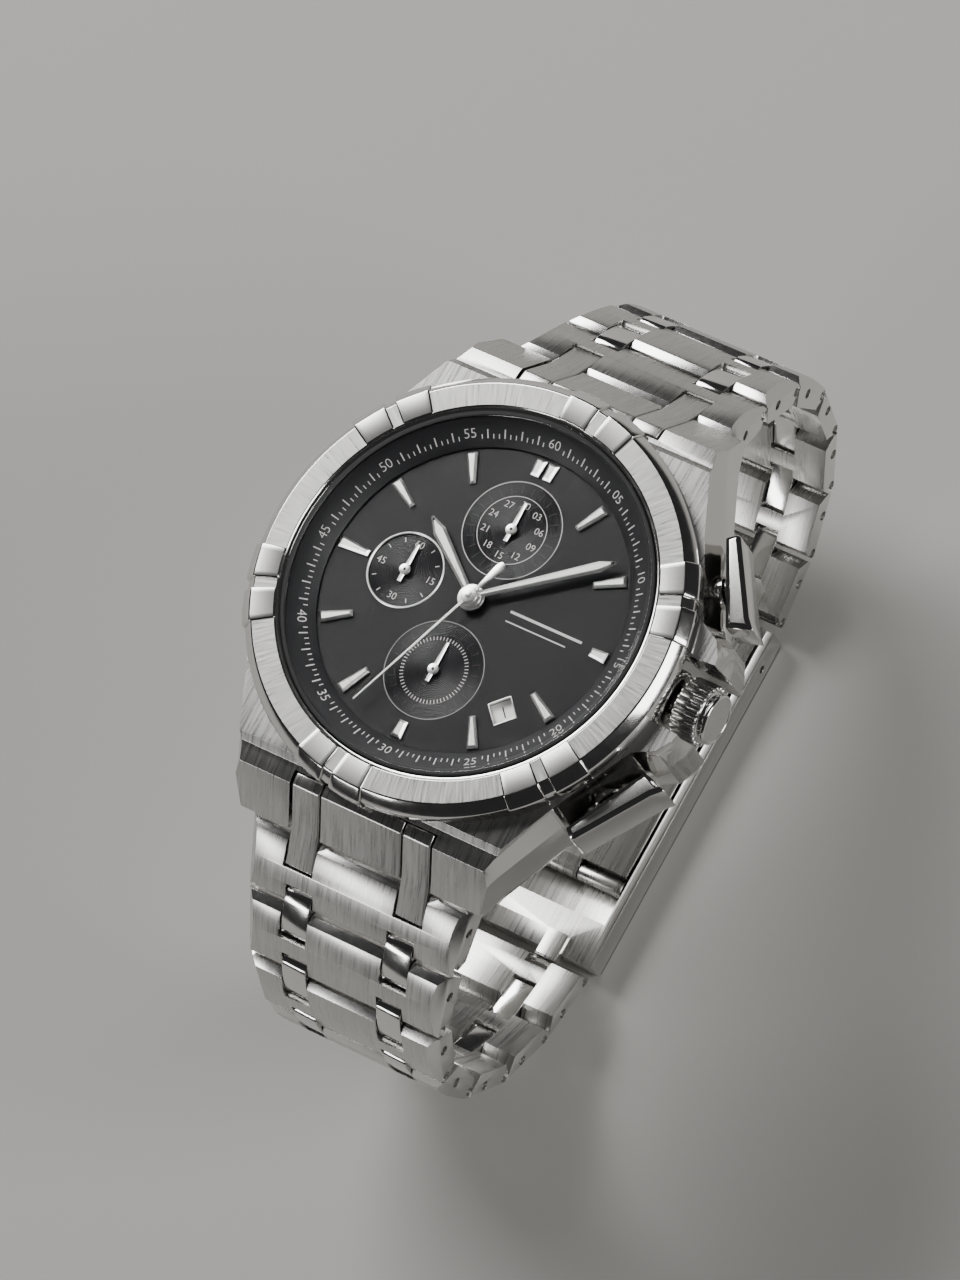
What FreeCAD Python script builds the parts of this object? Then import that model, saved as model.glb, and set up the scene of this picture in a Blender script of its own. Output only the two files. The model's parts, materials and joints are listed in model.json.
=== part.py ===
import FreeCAD, Part

import math
import os
import re

import Sketcher
from FreeCAD import Placement, Rotation, Vector

# A chronograph wristwatch on a closed steel bracelet. Millimetres and degrees.
# Z is the normal of the dial, Y points to 12 o'clock, X to the crown at 3 o'clock, and the origin is
# the centre of the case back's outer face.

SIZES = {
    # bezel, crystal and the ring under them
    "bezel_radius": 22.0,
    "bezel_flat_radius": 21.05,
    "bezel_bore": 18.25,
    "bezel_bottom": 8.4,
    "bezel_top": 11.0,
    "bezel_drop": 1.1,
    "bezel_rim": 0.35,
    "claw_radius": 22.3,
    "claw_flat_radius": 21.25,
    "claw_rise": 0.15,
    "claw_angle": 9.6,
    "claw_gap_angle": 2.6,
    "crystal_radius": 17.85,
    "crystal_bottom": 10.15,
    "crystal_top": 11.2,
    "crystal_edge": 0.25,
    "gasket_top": 10.9,
    "flange_radius": 18.15,
    "flange_bore": 15.25,
    "flange_lip": 8.8,
    # dial, its markers and the date disc
    "dial_radius": 18.0,
    "dial_bottom": 8.2,
    "dial_top": 8.6,
    "dial_bore": 1.15,
    "dial_recess": 0.12,
    "counter_offset": 7.6,
    "counter_radius": 5.0,
    "seconds_dial_radius": 3.7,
    "post_bore": 0.36,
    "date_offset": 11.8,
    "date_angle": 136.0,
    "date_window": 2.1,
    "marker_outer": 14.9,
    "marker_long": 3.2,
    "marker_short": 1.7,
    "marker_width": 1.05,
    "marker_root": 0.6,
    "marker_height": 0.35,
    "date_disc_inner": 10.3,
    "date_disc_outer": 13.3,
    "date_disc_bottom": 7.8,
    "date_disc_top": 8.0,
    # case
    "case_top": 8.4,
    "case_bottom": 0.7,
    "case_bore": 18.2,
    "case_back_bore": 17.6,
    "case_floor": 2.0,
    "case_edge": 0.9,
    "case_edge_low": 5.8,
    "case_edge_high": 7.5,
    "lug_gap": 8.05,
    "lug_end": 25.8,
    "lug_crest": 22.7,
    "lug_crest_height": 7.25,
    "lug_end_height": 2.75,
    "case_wall_at_link": 21.4,
    "back_flat": 15.5,
    "back_top": 1.8,
    # movement
    "movement_radius": 14.9,
    "movement_bottom": 2.6,
    "movement_top": 7.5,
    "holder_bottom": 2.3,
    "holder_top": 8.1,
    "battery_radius": 4.75,
    "battery_height": 1.9,
    # crown and its stem
    "stem_height": 4.0,
    "crown_radius": 3.05,
    "crown_inner": 21.95,
    "crown_length": 3.7,
    "crown_bore": 1.5,
    "crown_bore_depth": 2.3,
    "flute_radius": 0.28,
    "crown_slot": 3.5,
    "crown_floor": 21.6,
    "tube_radius": 1.42,
    "stem_radius": 0.5,
    "stem_inner": 11.6,
    "groove_place": 13.2,
    "groove_width": 0.6,
    "groove_radius": 0.3,
    # push-pieces at 2 and 4 o'clock
    "pusher_angle": 29.0,
    "pusher_height": 4.6,
    "pusher_face": 23.75,
    "pusher_low": 2.5,
    "pusher_high": 6.9,
    "pusher_stem_radius": 0.9,
    "pusher_tube_radius": 1.62,
    "spring_floor": 21.8,
    "spring_roof": 24.6,
    "spring_radius": 1.2,
    "spring_wire": 0.11,
    # hands: heights of their undersides and their thickness
    "hand_thickness": 0.2,
    "small_hand_level": 8.75,
    "hour_hand_level": 9.12,
    "minute_hand_level": 9.42,
    "seconds_hand_level": 9.72,
    "hour_hand_length": 9.5,
    "minute_hand_length": 14.35,
    "seconds_hand_length": 14.5,
    # bracelet
    "link_pitch": 7.4,
    "link_thickness": 3.0,
    "link_gap": 0.3,
    "pivot_setback": 0.7,
    "pin_radius": 0.5,
    "running_clearance": 0.05,
    "side_clearance": 0.12,
    "upper_pin": 2.6,
    "upper_notch": 3.6,
    "knuckle_radius": 1.15,
    "bracelet_half_at_case": 12.45,
    "bracelet_half_at_clasp": 9.0,
    "bracelet_decay": 0.72,
    "root_boundary_y": 25.15,
    "root_boundary_z": 1.34,
    "spring_bar_y": 23.5,
    "spring_bar_z": 3.4,
    "spring_bar_radius": 0.75,
    "spring_bar_tip": 0.45,
    # fold-over clasp
    "blade_half": 8.1,
    "cover_half": 9.3,
    "cover_wall": 0.9,
    "cover_end": 18.9,
    "lower_blade_top": -35.3,
    "lower_blade_bottom": -36.2,
    "middle_blade_top": -36.6,
    "middle_blade_bottom": -37.3,
    "cover_plate_top": -37.7,
    "cover_plate_bottom": -38.7,
    "fold_hinge_y": -10.5,
    "fold_hinge_z": -36.45,
    "fold_knuckle": 0.85,
    "cover_hinge_y": 15.5,
    "cover_hinge_z": -37.05,
    "cover_knuckle": 0.65,
    "clasp_pin_radius": 0.4,
}
# Slope of each bracelet row below the horizontal, from the case to the clasp.
ROW_SLOPES = (39.5, 49.0, 70.0, 95.0, 120.0, 143.0, 163.0)
# Clock position in hours of every applied marker that is one long baton.
LONG_MARKERS = (1, 2, 4, 5, 7, 8, 9, 10, 11)
SHORT_MARKERS = (3, 6)
HOUR_ANGLE = 30.0
# Clockwise angles of the hands from 12 o'clock.
HAND_ANGLES = {"hour_hand": 306.6, "minute_hand": 53.2, "chrono_seconds_hand": 201.2}

BATTERY_PLACE = Vector(-6, 5, 0)
CROWN_FLUTES = 24
SPRING_TURNS = 4

doc = FreeCAD.newDocument("Wristwatch")
sheet = doc.addObject("Spreadsheet::Sheet", "Sizes")
for row, (alias, value) in enumerate(SIZES.items(), 1):
    sheet.set(f"A{row}", alias)
    sheet.set(f"B{row}", str(value))
    sheet.setAlias(f"B{row}", alias)
doc.recompute()


def bound(text):
    """The expression with every size name pointed at the sheet."""
    return re.sub(r"[a-z][a-z_]*", lambda found: "Sizes." + found.group(0), text)


def number(text):
    """The present value of an expression over the sheet."""
    return float(sheet.evalExpression(bound(text)))


def bind(thing, **expressions):
    for name, text in expressions.items():
        thing.setExpression(name, bound(text))


def new_body(label):
    body = doc.addObject("PartDesign::Body", label)
    body.Label = label
    return body


def new_sketch(body, role, lift="0"):
    """A sketch on one of the body's origin planes, moved along the plane's normal by lift."""
    sketch = body.newObject("Sketcher::SketchObject", body.Name + "_sketch")
    plane = next(f for f in body.Origin.OriginFeatures if f.Role == role)
    sketch.AttachmentSupport = (plane, [""])
    sketch.MapMode = "FlatFace"
    if lift != "0":
        sketch.setExpression("AttachmentOffset.Base.z", bound(lift))
    return sketch


def hold(sketch, edge, end, text, kind, axis):
    """Keeps one coordinate of a point at an expression, or on the axis where it is zero."""
    if abs(number(text)) < 1e-9:
        sketch.addConstraint(Sketcher.Constraint("PointOnObject", edge, end, axis))
        return
    index = sketch.addConstraint(Sketcher.Constraint(kind, -1, 1, edge, end, number(text)))
    sketch.setExpression(f"Constraints[{index}]", bound(text))


def add_polygon(sketch, corners):
    first = sketch.GeometryCount
    count = len(corners)
    points = [Vector(number(across), number(up), 0) for across, up in corners]
    for i in range(count):
        sketch.addGeometry(Part.LineSegment(points[i], points[(i + 1) % count]), False)
    for i in range(count):
        after = first + (i + 1) % count
        sketch.addConstraint(Sketcher.Constraint("Coincident", first + i, 2, after, 1))
        hold(sketch, first + i, 1, corners[i][0], "DistanceX", -2)
        hold(sketch, first + i, 1, corners[i][1], "DistanceY", -1)


def add_circle(sketch, across, up, radius):
    circle = Part.Circle(Vector(number(across), number(up), 0), Vector(0, 0, 1), number(radius))
    edge = sketch.addGeometry(circle, False)
    hold(sketch, edge, 3, across, "DistanceX", -2)
    hold(sketch, edge, 3, up, "DistanceY", -1)
    index = sketch.addConstraint(Sketcher.Constraint("Radius", edge, number(radius)))
    sketch.setExpression(f"Constraints[{index}]", bound(radius))


def rectangle(low, left, high, right):
    return [(left, low), (right, low), (right, high), (left, high)]


def revolve(body, corners, angle="360", turn=0.0):
    """Turns a closed (radius, height) outline about Z, starting at the plane turned by turn degrees."""
    sketch = new_sketch(body, "XZ_Plane")
    sketch.AttachmentOffset = Placement(Vector(), Rotation(Vector(0, 1, 0), turn))
    add_polygon(sketch, corners)
    feature = body.newObject("PartDesign::Revolution", body.Name + "_turned")
    feature.Profile = sketch
    feature.ReferenceAxis = (sketch, ["V_Axis"])
    bind(feature, Angle=angle)
    sketch.Visibility = False
    return feature


def turned(label, corners):
    body = new_body(label)
    revolve(body, corners)
    return body


def pad(body, role, length, corners=(), circles=(), lift="0", midplane=False):
    return extrude(body, "PartDesign::Pad", role, length, corners, circles, lift, midplane)


def cut(body, role, length, corners=(), circles=(), lift="0", midplane=True):
    """Pockets outlines out of the body. Sketches that lie inside the solid cut both ways."""
    before = body.Shape.Volume
    feature = extrude(body, "PartDesign::Pocket", role, length, corners, circles, lift, midplane)
    doc.recompute()
    if body.Shape.Volume > before - 1e-6:
        raise RuntimeError(f"a pocket in {body.Label} cuts nothing")
    return feature


def extrude(body, kind, role, length, corners, circles, lift, midplane):
    sketch = new_sketch(body, role, lift)
    for outline in corners:
        add_polygon(sketch, outline)
    for across, up, radius in circles:
        add_circle(sketch, across, up, radius)
    feature = body.newObject(kind, body.Name + "_extruded")
    feature.Profile = sketch
    feature.Midplane = midplane
    bind(feature, Length=length)
    doc.recompute()
    return feature


def repeat(body, feature, count):
    """Repeats a feature around Z."""
    pattern = body.newObject("PartDesign::PolarPattern", body.Name + "_pattern")
    pattern.Originals = [feature]
    pattern.Axis = (next(f for f in body.Origin.OriginFeatures if f.Role == "Z_Axis"), [""])
    pattern.Angle = 360
    pattern.Occurrences = count
    body.Tip = pattern
    doc.recompute()
    return pattern


def group(label, members):
    """Several separate solids of one kind under one name."""
    compound = doc.addObject("Part::Compound", label)
    compound.Label = label
    compound.Links = members
    doc.recompute()
    return compound


def finished(label, shape, place=None):
    """A sub-part whose shape comes from Part's own functions."""
    feature = doc.addObject("Part::Feature", label)
    feature.Label = label
    feature.Shape = shape
    feature.Placement = place or Placement()
    return feature


def spun(angle):
    """Turns clockwise, as seen from above the dial, from 12 o'clock."""
    return Placement(Vector(), Rotation(Vector(0, 0, 1), -angle))


def out_along(angle):
    """Lays a body built along +Z outward in the dial plane, at angle degrees above +X."""
    return Rotation(Vector(0, 0, 1), angle) * Rotation(Vector(0, 1, 0), 90)


# ---------------------------------------------------------------- head: bezel, crystal, dial


def bezel():
    """Flat ring with a chamfered edge and six pairs of raised claws."""
    low, top = "bezel_bottom", "bezel_top"
    body = turned("bezel", [
        ("bezel_bore", low), ("bezel_radius", low), ("bezel_radius", "bezel_top - bezel_drop"),
        ("bezel_flat_radius", top), ("bezel_bore + bezel_rim", top), ("bezel_bore", "bezel_top - 0.15")])
    doc.recompute()
    for side in (1, -1):
        width = number("claw_angle")
        start = number("claw_gap_angle") / 2
        turn = 90 + (start if side > 0 else -start - width)
        claw = revolve(body, [
            ("bezel_bore + bezel_rim", low), ("claw_radius", low),
            ("claw_radius", "bezel_top - bezel_drop + claw_rise"),
            ("claw_flat_radius", "bezel_top + claw_rise"),
            ("bezel_bore + bezel_rim", "bezel_top + claw_rise")], "claw_angle", turn)
        doc.recompute()
        repeat(body, claw, 6)
    return body


def crystal():
    return turned("crystal", [
        ("0", "crystal_bottom"), ("crystal_radius", "crystal_bottom"),
        ("crystal_radius", "crystal_top - crystal_edge"),
        ("crystal_radius - crystal_edge", "crystal_top"), ("0", "crystal_top")])


def sealing_gaskets():
    """Crystal gasket in the bezel and O-ring seat of the case back."""
    around_crystal = turned("crystal_gasket", rectangle(
        "crystal_bottom", "crystal_radius", "gasket_top", "bezel_bore"))
    in_back = turned("back_gasket", rectangle(
        "back_top", "case_back_bore - 0.9", "case_floor", "case_back_bore - 0.1"))
    return group("sealing_gaskets", [around_crystal, in_back])


def flange_ring():
    """Sloped ring around the dial that carries the minute scale."""
    return turned("flange_ring", [
        ("flange_bore", "dial_top"), ("flange_radius", "dial_top"), ("flange_radius", "crystal_bottom"),
        ("flange_radius - 0.4", "crystal_bottom"), ("flange_bore + 0.15", "flange_lip"),
        ("flange_bore", "flange_lip")])


def dial():
    body = turned("dial_blank", rectangle("dial_bottom", "dial_bore", "dial_top", "dial_radius"))
    doc.recompute()
    offset = "counter_offset"
    cut(body, "XY_Plane", "2 * dial_recess", lift="dial_top", circles=[
        ("0", offset, "counter_radius"), ("0", "-" + offset, "counter_radius"),
        ("-" + offset, "0", "seconds_dial_radius")])
    cut(body, "XY_Plane", "2 * dial_top", lift="dial_bottom", circles=[
        ("0", offset, "post_bore"), ("0", "-" + offset, "post_bore"), ("-" + offset, "0", "post_bore")])
    window = doc.addObject("Part::Box", "date_window")
    bind(window, Length="date_window", Width="date_window", Height="2 * (dial_top - dial_bottom)")
    corner = Vector(-number("date_window") / 2, number("date_offset - date_window / 2"),
                    number("dial_bottom - 0.1"))
    window.Placement = spun(number("date_angle")) * Placement(corner, Rotation())
    plate = doc.addObject("Part::Cut", "dial")
    plate.Base = body
    plate.Tool = window
    return plate


def baton(length, offset, angle):
    """Applied marker, wide end outward, lying on the dial."""
    wedge = doc.addObject("Part::Wedge", "marker")
    bind(wedge, Xmin="-marker_root / 2", Xmax="marker_root / 2", Ymin="0", Ymax=length,
         Zmin="0", Zmax="marker_height", X2min="-marker_width / 2", X2max="marker_width / 2",
         Z2min="0", Z2max="marker_height")
    wedge.Placement = spun(angle) * Placement(
        Vector(offset, number("marker_outer - " + length), number("dial_top")), Rotation())
    return wedge


def hour_markers():
    batons = [baton("marker_long", 0, hour * HOUR_ANGLE) for hour in LONG_MARKERS]
    batons += [baton("marker_short", 0, hour * HOUR_ANGLE) for hour in SHORT_MARKERS]
    batons += [baton("marker_short", side * number("marker_width") * 0.62, 0) for side in (-1, 1)]
    return group("hour_markers", batons)


def date_disc():
    return turned("date_disc", rectangle(
        "date_disc_bottom", "date_disc_inner", "date_disc_top", "date_disc_outer"))


# ---------------------------------------------------------------- case and what it holds


def outline(inset):
    """Plan view of the case, from the crown guard round to the left flank, drawn in by inset."""
    slot = number("crown_slot")
    quarter = [
        (number("crown_floor"), slot), (25.5 - inset, slot + inset * 0.2), (25.3 - inset, 4.6),
        (24.4 - inset, 6.4 - inset * 0.5), (22.3 - inset, 7.4 - inset * 0.4),
        (18.2 - inset * 0.8, 14.8 - inset * 0.5), (14.5 - inset, number("lug_crest")),
        (13.5 - inset, number("lug_end")), (number("lug_gap"), number("lug_end")),
        (number("lug_gap"), number("case_wall_at_link")),
        (-number("lug_gap"), number("case_wall_at_link")),
        (-number("lug_gap"), number("lug_end")), (-13.5 + inset, number("lug_end")),
        (-14.5 + inset, number("lug_crest")), (-18.2 + inset * 0.8, 14.8 - inset * 0.5)]
    upper = [Vector(x, y, 0) for x, y in quarter]
    lower = [Vector(x, -y, 0) for x, y in reversed(quarter)]
    edges = [Part.makeLine(a, b) for a, b in zip(upper, upper[1:])]
    edges.append(Part.Arc(upper[-1], Vector(-21.9 + inset, 0, 0), lower[0]).toShape())
    edges += [Part.makeLine(a, b) for a, b in zip(lower, lower[1:])]
    edges.append(Part.makeLine(lower[-1], upper[0]))
    return Part.Wire(edges)


def at_height(wire, height):
    raised = wire.copy()
    raised.translate(Vector(0, 0, height))
    return raised


def side_profile():
    """Case seen from the crown: flat under the bezel, lug facets falling away at both ends."""
    crest, end = number("lug_crest"), number("lug_end")
    low = number("case_bottom")
    lean = math.tan(math.radians(ROW_SLOPES[0]))
    foot = end - (number("lug_end_height") - low) * lean
    half = [(20.9, number("case_edge_high") + 0.15), (crest, number("lug_crest_height")),
            (end, number("lug_end_height")), (foot, low)]
    right = [Vector(0, y, z) for y, z in half]
    left = [Vector(0, -y, z) for y, z in reversed(half)]
    top = number("case_top")
    corners = [Vector(0, -20.3, top), Vector(0, 20.3, top)] + right + left
    face = Part.Face(Part.makePolygon(corners + corners[:1]))
    face.translate(Vector(-30, 0, 0))
    return face.extrude(Vector(60, 0, 0))


def rod(radius, start, length, direction):
    return Part.makeCylinder(radius, length, start, direction)


def pusher_direction(side):
    angle = math.radians(number("pusher_angle")) * side
    return Vector(math.cos(angle), math.sin(angle), 0)


def case_middle():
    full, drawn_in = outline(0), outline(number("case_edge"))
    slightly_in = outline(number("case_edge") / 2)
    levels = [number("case_bottom"), 1.9, number("case_edge_low"), number("case_edge_high"), 9.0]
    wires = [slightly_in, full, full, drawn_in, drawn_in]
    body = None
    for low, high, below, above in zip(levels, levels[1:], wires, wires[1:]):
        slab = Part.makeLoft([at_height(below, low), at_height(above, high)], True, True)
        body = slab if body is None else body.fuse(slab)
    body = body.common(side_profile())
    up, out = Vector(0, 0, 1), Vector(1, 0, 0)
    body = body.cut(rod(number("case_bore"), Vector(0, 0, number("case_floor")), 10, up))
    body = body.cut(rod(number("case_back_bore"), Vector(0, 0, -1), 10, up))
    stem = Vector(17, 0, number("stem_height"))
    body = body.cut(rod(number("tube_radius"), stem, 8, out))
    for side in (1, -1):
        way = pusher_direction(side)
        start = way * 17 + Vector(0, 0, number("pusher_height"))
        body = body.cut(rod(number("pusher_tube_radius"), start, 10, way))
        bar = Vector(-number("lug_gap") - 1.4, side * number("spring_bar_y"), number("spring_bar_z"))
        body = body.cut(rod(number("spring_bar_tip"), bar, -2 * bar.x, out))
    return finished("case_middle", body.removeSplitter())


def case_back():
    """Screw-down back with a recessed centre panel and six key slots."""
    body = turned("case_back", [
        ("0", "0"), ("back_flat", "0"), ("back_flat + 0.5", "0.35"), ("case_back_bore - 0.08", "0.35"),
        ("case_back_bore - 0.08", "back_top"), ("back_flat", "back_top"), ("back_flat", "1.2"),
        ("0", "1.2")])
    doc.recompute()
    slot = cut(body, "XY_Plane", "1.2", corners=[rectangle(
        "-0.9", "back_flat - 0.9", "0.9", "back_flat + 1.0")])
    repeat(body, slot, 6)
    return body


def movement_holder():
    """Plastic ring that centres the movement in the case, with cut-outs for stem and push-pieces."""
    blank = turned("holder_blank", rectangle(
        "holder_bottom", "movement_radius + 0.1", "holder_top", "case_bore - 0.1"))
    doc.recompute()
    ring = blank.Shape.copy()
    stem = Vector(10, 0, number("stem_height"))
    ring = ring.cut(rod(number("tube_radius") + 0.2, stem, 12, Vector(1, 0, 0)))
    for side in (1, -1):
        way = pusher_direction(side)
        start = way * 10 + Vector(0, 0, number("pusher_height"))
        ring = ring.cut(rod(number("pusher_tube_radius") + 0.2, start, 12, way))
    doc.removeObject(blank.Name)
    return finished("movement_holder", ring)


def movement():
    """Quartz chronograph movement as one sealed block, bored for the arbors, stem and battery."""
    low, high = number("movement_bottom"), number("movement_top")
    radius = number("movement_radius")
    up = Vector(0, 0, 1)
    block = rod(radius, Vector(0, 0, low), high - low, up)
    cell = BATTERY_PLACE + Vector(0, 0, low)
    block = block.cut(rod(number("battery_radius") + 0.1, cell, number("battery_height") + 0.1, up))
    block = block.cut(rod(number("dial_bore") + 0.05, Vector(0, 0, low), high, up))
    offset = number("counter_offset")
    for x, y in ((0, offset), (0, -offset), (-offset, 0)):
        block = block.cut(rod(number("post_bore"), Vector(x, y, high - 1.5), 3, up))
    stem_height = number("stem_height")
    stem = Vector(10.5, 0, stem_height)
    block = block.cut(rod(number("stem_radius") + 0.06, stem, 6, Vector(1, 0, 0)))
    lever_corner = Vector(number("groove_place") - 0.4, -1.6, stem_height - 1.2)
    block = block.cut(Part.makeBox(2.6, 3.2, 3.2, lever_corner))
    for side in (1, -1):
        way = pusher_direction(side)
        start = way * 13.4 + Vector(0, 0, number("pusher_height"))
        block = block.cut(rod(number("pusher_stem_radius") + 0.2, start, 5, way))
    return finished("movement", block)


def battery():
    body = turned("battery", [
        ("0", "0"), ("battery_radius - 0.6", "0"), ("battery_radius - 0.6", "0.25"),
        ("battery_radius", "0.25"), ("battery_radius", "battery_height"), ("0", "battery_height")])
    body.Placement = Placement(BATTERY_PLACE + Vector(0, 0, number("movement_bottom")), Rotation())
    return body


def crown():
    """Fluted crown, built along its own axis and laid out at 3 o'clock."""
    body = turned("crown", [
        ("crown_bore", "0"), ("crown_radius - 0.35", "0"), ("crown_radius", "0.3"),
        ("crown_radius", "crown_length - 0.75"), ("crown_radius - 0.4", "crown_length - 0.25"),
        ("crown_radius - 0.55", "crown_length"), ("0", "crown_length"), ("0", "crown_length - 0.9"),
        ("stem_radius", "crown_length - 0.9"), ("stem_radius", "crown_bore_depth"),
        ("crown_bore", "crown_bore_depth")])
    doc.recompute()
    flute = cut(body, "XY_Plane", "2 * (crown_length - 0.6)", circles=[
        ("crown_radius + 0.08", "0", "flute_radius")])
    repeat(body, flute, CROWN_FLUTES)
    body.Placement = Placement(Vector(number("crown_inner"), 0, number("stem_height")), out_along(0))
    return body


def winding_stem():
    body = turned("winding_stem", [
        ("0", "stem_inner"), ("stem_radius", "stem_inner"), ("stem_radius", "groove_place"),
        ("groove_radius", "groove_place"), ("groove_radius", "groove_place + groove_width"),
        ("stem_radius", "groove_place + groove_width"),
        ("stem_radius", "crown_inner + crown_length - 0.95"), ("0", "crown_inner + crown_length - 0.95")])
    body.Placement = Placement(Vector(0, 0, number("stem_height")), out_along(0))
    return body


def setting_lever():
    """Plate whose fork sits in the stem's groove and slides out with it."""
    body = new_body("setting_lever")
    place = "groove_place + groove_width / 2"
    pad(body, "YZ_Plane", "0.3", [[
        ("-1.2", "stem_height - 0.9"), ("-0.36", "stem_height - 0.9"), ("-0.36", "stem_height + 0.4"),
        ("0.36", "stem_height + 0.4"), ("0.36", "stem_height - 0.9"), ("1.2", "stem_height - 0.9"),
        ("1.2", "stem_height + 1.6"), ("-1.2", "stem_height + 1.6")]], lift=place, midplane=True)
    return body


def case_tubes():
    """Crown tube and two pusher tubes, pressed into the case."""
    crown_tube = turned("crown_tube", rectangle(
        "18.3", "stem_radius + 0.06", "crown_floor + 1.5", "tube_radius"))
    crown_tube.Placement = Placement(Vector(0, 0, number("stem_height")), out_along(0))
    tubes = [crown_tube]
    for side in (1, -1):
        tube = turned("pusher_tube", [
            ("pusher_stem_radius + 0.06", "18.4"), ("pusher_tube_radius", "18.4"),
            ("pusher_tube_radius", "pusher_face - 0.5"), ("spring_radius + 0.2", "pusher_face - 0.5"),
            ("spring_radius + 0.2", "spring_floor"), ("pusher_stem_radius + 0.06", "spring_floor")])
        tube.Placement = Placement(
            Vector(0, 0, number("pusher_height")), out_along(side * number("pusher_angle")))
        tubes.append(tube)
    return group("case_tubes", tubes)


def pusher(label, side):
    """Trapezoid cap with a stem, drawn with Y along the way it is pushed and mirrored at 4 o'clock."""
    body = new_body(label)
    across = [(-4.3, "pusher_face"), (-4.85, "pusher_face + 2.7"), (-3.5, "pusher_face + 2.35"),
              (4.6, "pusher_face + 1.55"), (4.95, "pusher_face + 1.2"), (4.7, "pusher_face")]
    cap = [(str(-side * x), y) for x, y in across]
    pad(body, "XY_Plane", "pusher_high - pusher_low", [cap], lift="pusher_low")
    cut(body, "XZ_Plane", "2 * (spring_roof - pusher_face)", lift="-pusher_face",
        circles=[("0", "pusher_height", "pusher_tube_radius + 0.12")])
    pad(body, "XZ_Plane", "spring_roof - 17.2 + 0.3", lift="-spring_roof - 0.3",
        circles=[("0", "pusher_height", "pusher_stem_radius")])
    body.Placement = spun(90 - side * number("pusher_angle"))
    return body


def pusher_spring(label, side):
    """Coil made of tilted half rings that meet end to end, each a half turn further up."""
    radius, wire = number("spring_radius"), number("spring_wire")
    rise = (number("spring_roof - spring_floor") - 2 * wire - 0.02) / (2 * SPRING_TURNS)
    tilt = math.degrees(math.asin(rise / (2 * radius)))
    halves = []
    for n in range(2 * SPRING_TURNS):
        half = Part.makeTorus(radius, wire, Vector(), Vector(0, 0, 1), -180, 180, 180)
        turn = Rotation(Vector(0, 1, 0), tilt * (-1) ** n) * Rotation(Vector(0, 0, 1), 180 * n)
        half.Placement = Placement(Vector(0, 0, (n + 0.5) * rise), turn)
        halves.append(half)
    laid = Placement(Vector(0, 0, number("pusher_height")), out_along(side * number("pusher_angle")))
    seat = Placement(Vector(0, 0, number("spring_floor") + wire + 0.01), Rotation())
    return finished(label, halves[0].fuse(halves[1:]), laid * seat)


# ---------------------------------------------------------------- hands


def blade_hand(label, level, half_root, half_widest, length, tail, hub, pipe):
    """Baton hand with a pointed tip, a round hub and the pipe that carries it."""
    body = new_body(label)
    shoulder = f"{length} - 1.6"
    pad(body, "XY_Plane", "hand_thickness", [[
        (str(-half_root), f"-{tail}"), (str(half_root), f"-{tail}"), (str(half_widest), shoulder),
        ("0", length), (str(-half_widest), shoulder)]], lift=level)
    add_hub(body, level, hub, pipe)
    body.Placement = spun(HAND_ANGLES[label])
    return body


def add_hub(body, level, hub, pipe):
    outer, inner, foot = pipe
    pad(body, "XY_Plane", "hand_thickness", circles=[("0", "0", hub)], lift=level)
    pad(body, "XY_Plane", f"{level} - ({foot}) + 0.05", circles=[("0", "0", outer)], lift=foot)
    if inner:
        cut(body, "XY_Plane", "30", circles=[("0", "0", inner)], lift=level)


def hour_hand():
    return blade_hand("hour_hand", "hour_hand_level", 0.42, 0.62, "hour_hand_length", "1.0", "1.35",
                      ("1.0", "0.74", "6.4"))


def minute_hand():
    return blade_hand("minute_hand", "minute_hand_level", 0.34, 0.52, "minute_hand_length", "1.0", "1.1",
                      ("0.67", "0.42", "5.4"))


def chrono_seconds_hand():
    """Thin needle with a rounded counterweight."""
    body = new_body("chrono_seconds_hand")
    level = "seconds_hand_level"
    pad(body, "XY_Plane", "hand_thickness", [[
        ("-0.16", "-3.6"), ("0.16", "-3.6"), ("0.13", "0"), ("0.05", "seconds_hand_length"),
        ("-0.05", "seconds_hand_length"), ("-0.13", "0")]], lift=level)
    pad(body, "XY_Plane", "hand_thickness", circles=[("0", "-3.9", "0.5")], lift=level)
    add_hub(body, level, "0.75", ("0.35", None, "4.6"))
    body.Placement = spun(HAND_ANGLES["chrono_seconds_hand"])
    return body


def small_hand(label, x, y, length):
    """Short baton of a sub-dial, with its post in the movement."""
    body = new_body(label)
    level = "small_hand_level"
    pad(body, "XY_Plane", "hand_thickness", [[
        ("-0.17", "-1.1"), ("0.17", "-1.1"), ("0.22", "0"), ("0.15", length), ("-0.15", length),
        ("-0.22", "0")]], lift=level)
    add_hub(body, level, "0.55", ("0.3", None, "movement_top - 1.2"))
    body.Placement = Placement(Vector(x, y, 0), Rotation())
    return body


def small_hands():
    offset = number("counter_offset")
    return [small_hand("minute_counter_hand", 0, offset, "2.9"),
            small_hand("hour_counter_hand", 0, -offset, "2.9"),
            small_hand("small_seconds_hand", -offset, 0, "2.6")]


# ---------------------------------------------------------------- bracelet


def half_width(row):
    """Half the bracelet's width at the boundary after so many rows."""
    wide, narrow = number("bracelet_half_at_case"), number("bracelet_half_at_clasp")
    return narrow + (wide - narrow) * number("bracelet_decay") ** row


def notch(row, clearance):
    """Inner and outer edge of the notch at a boundary: a quarter of the half width, centred on it."""
    half = half_width(row)
    return 0.375 * half - clearance, 0.625 * half + clearance


def along(slope):
    angle = math.radians(slope)
    return Vector(0, math.cos(angle), -math.sin(angle))


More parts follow.
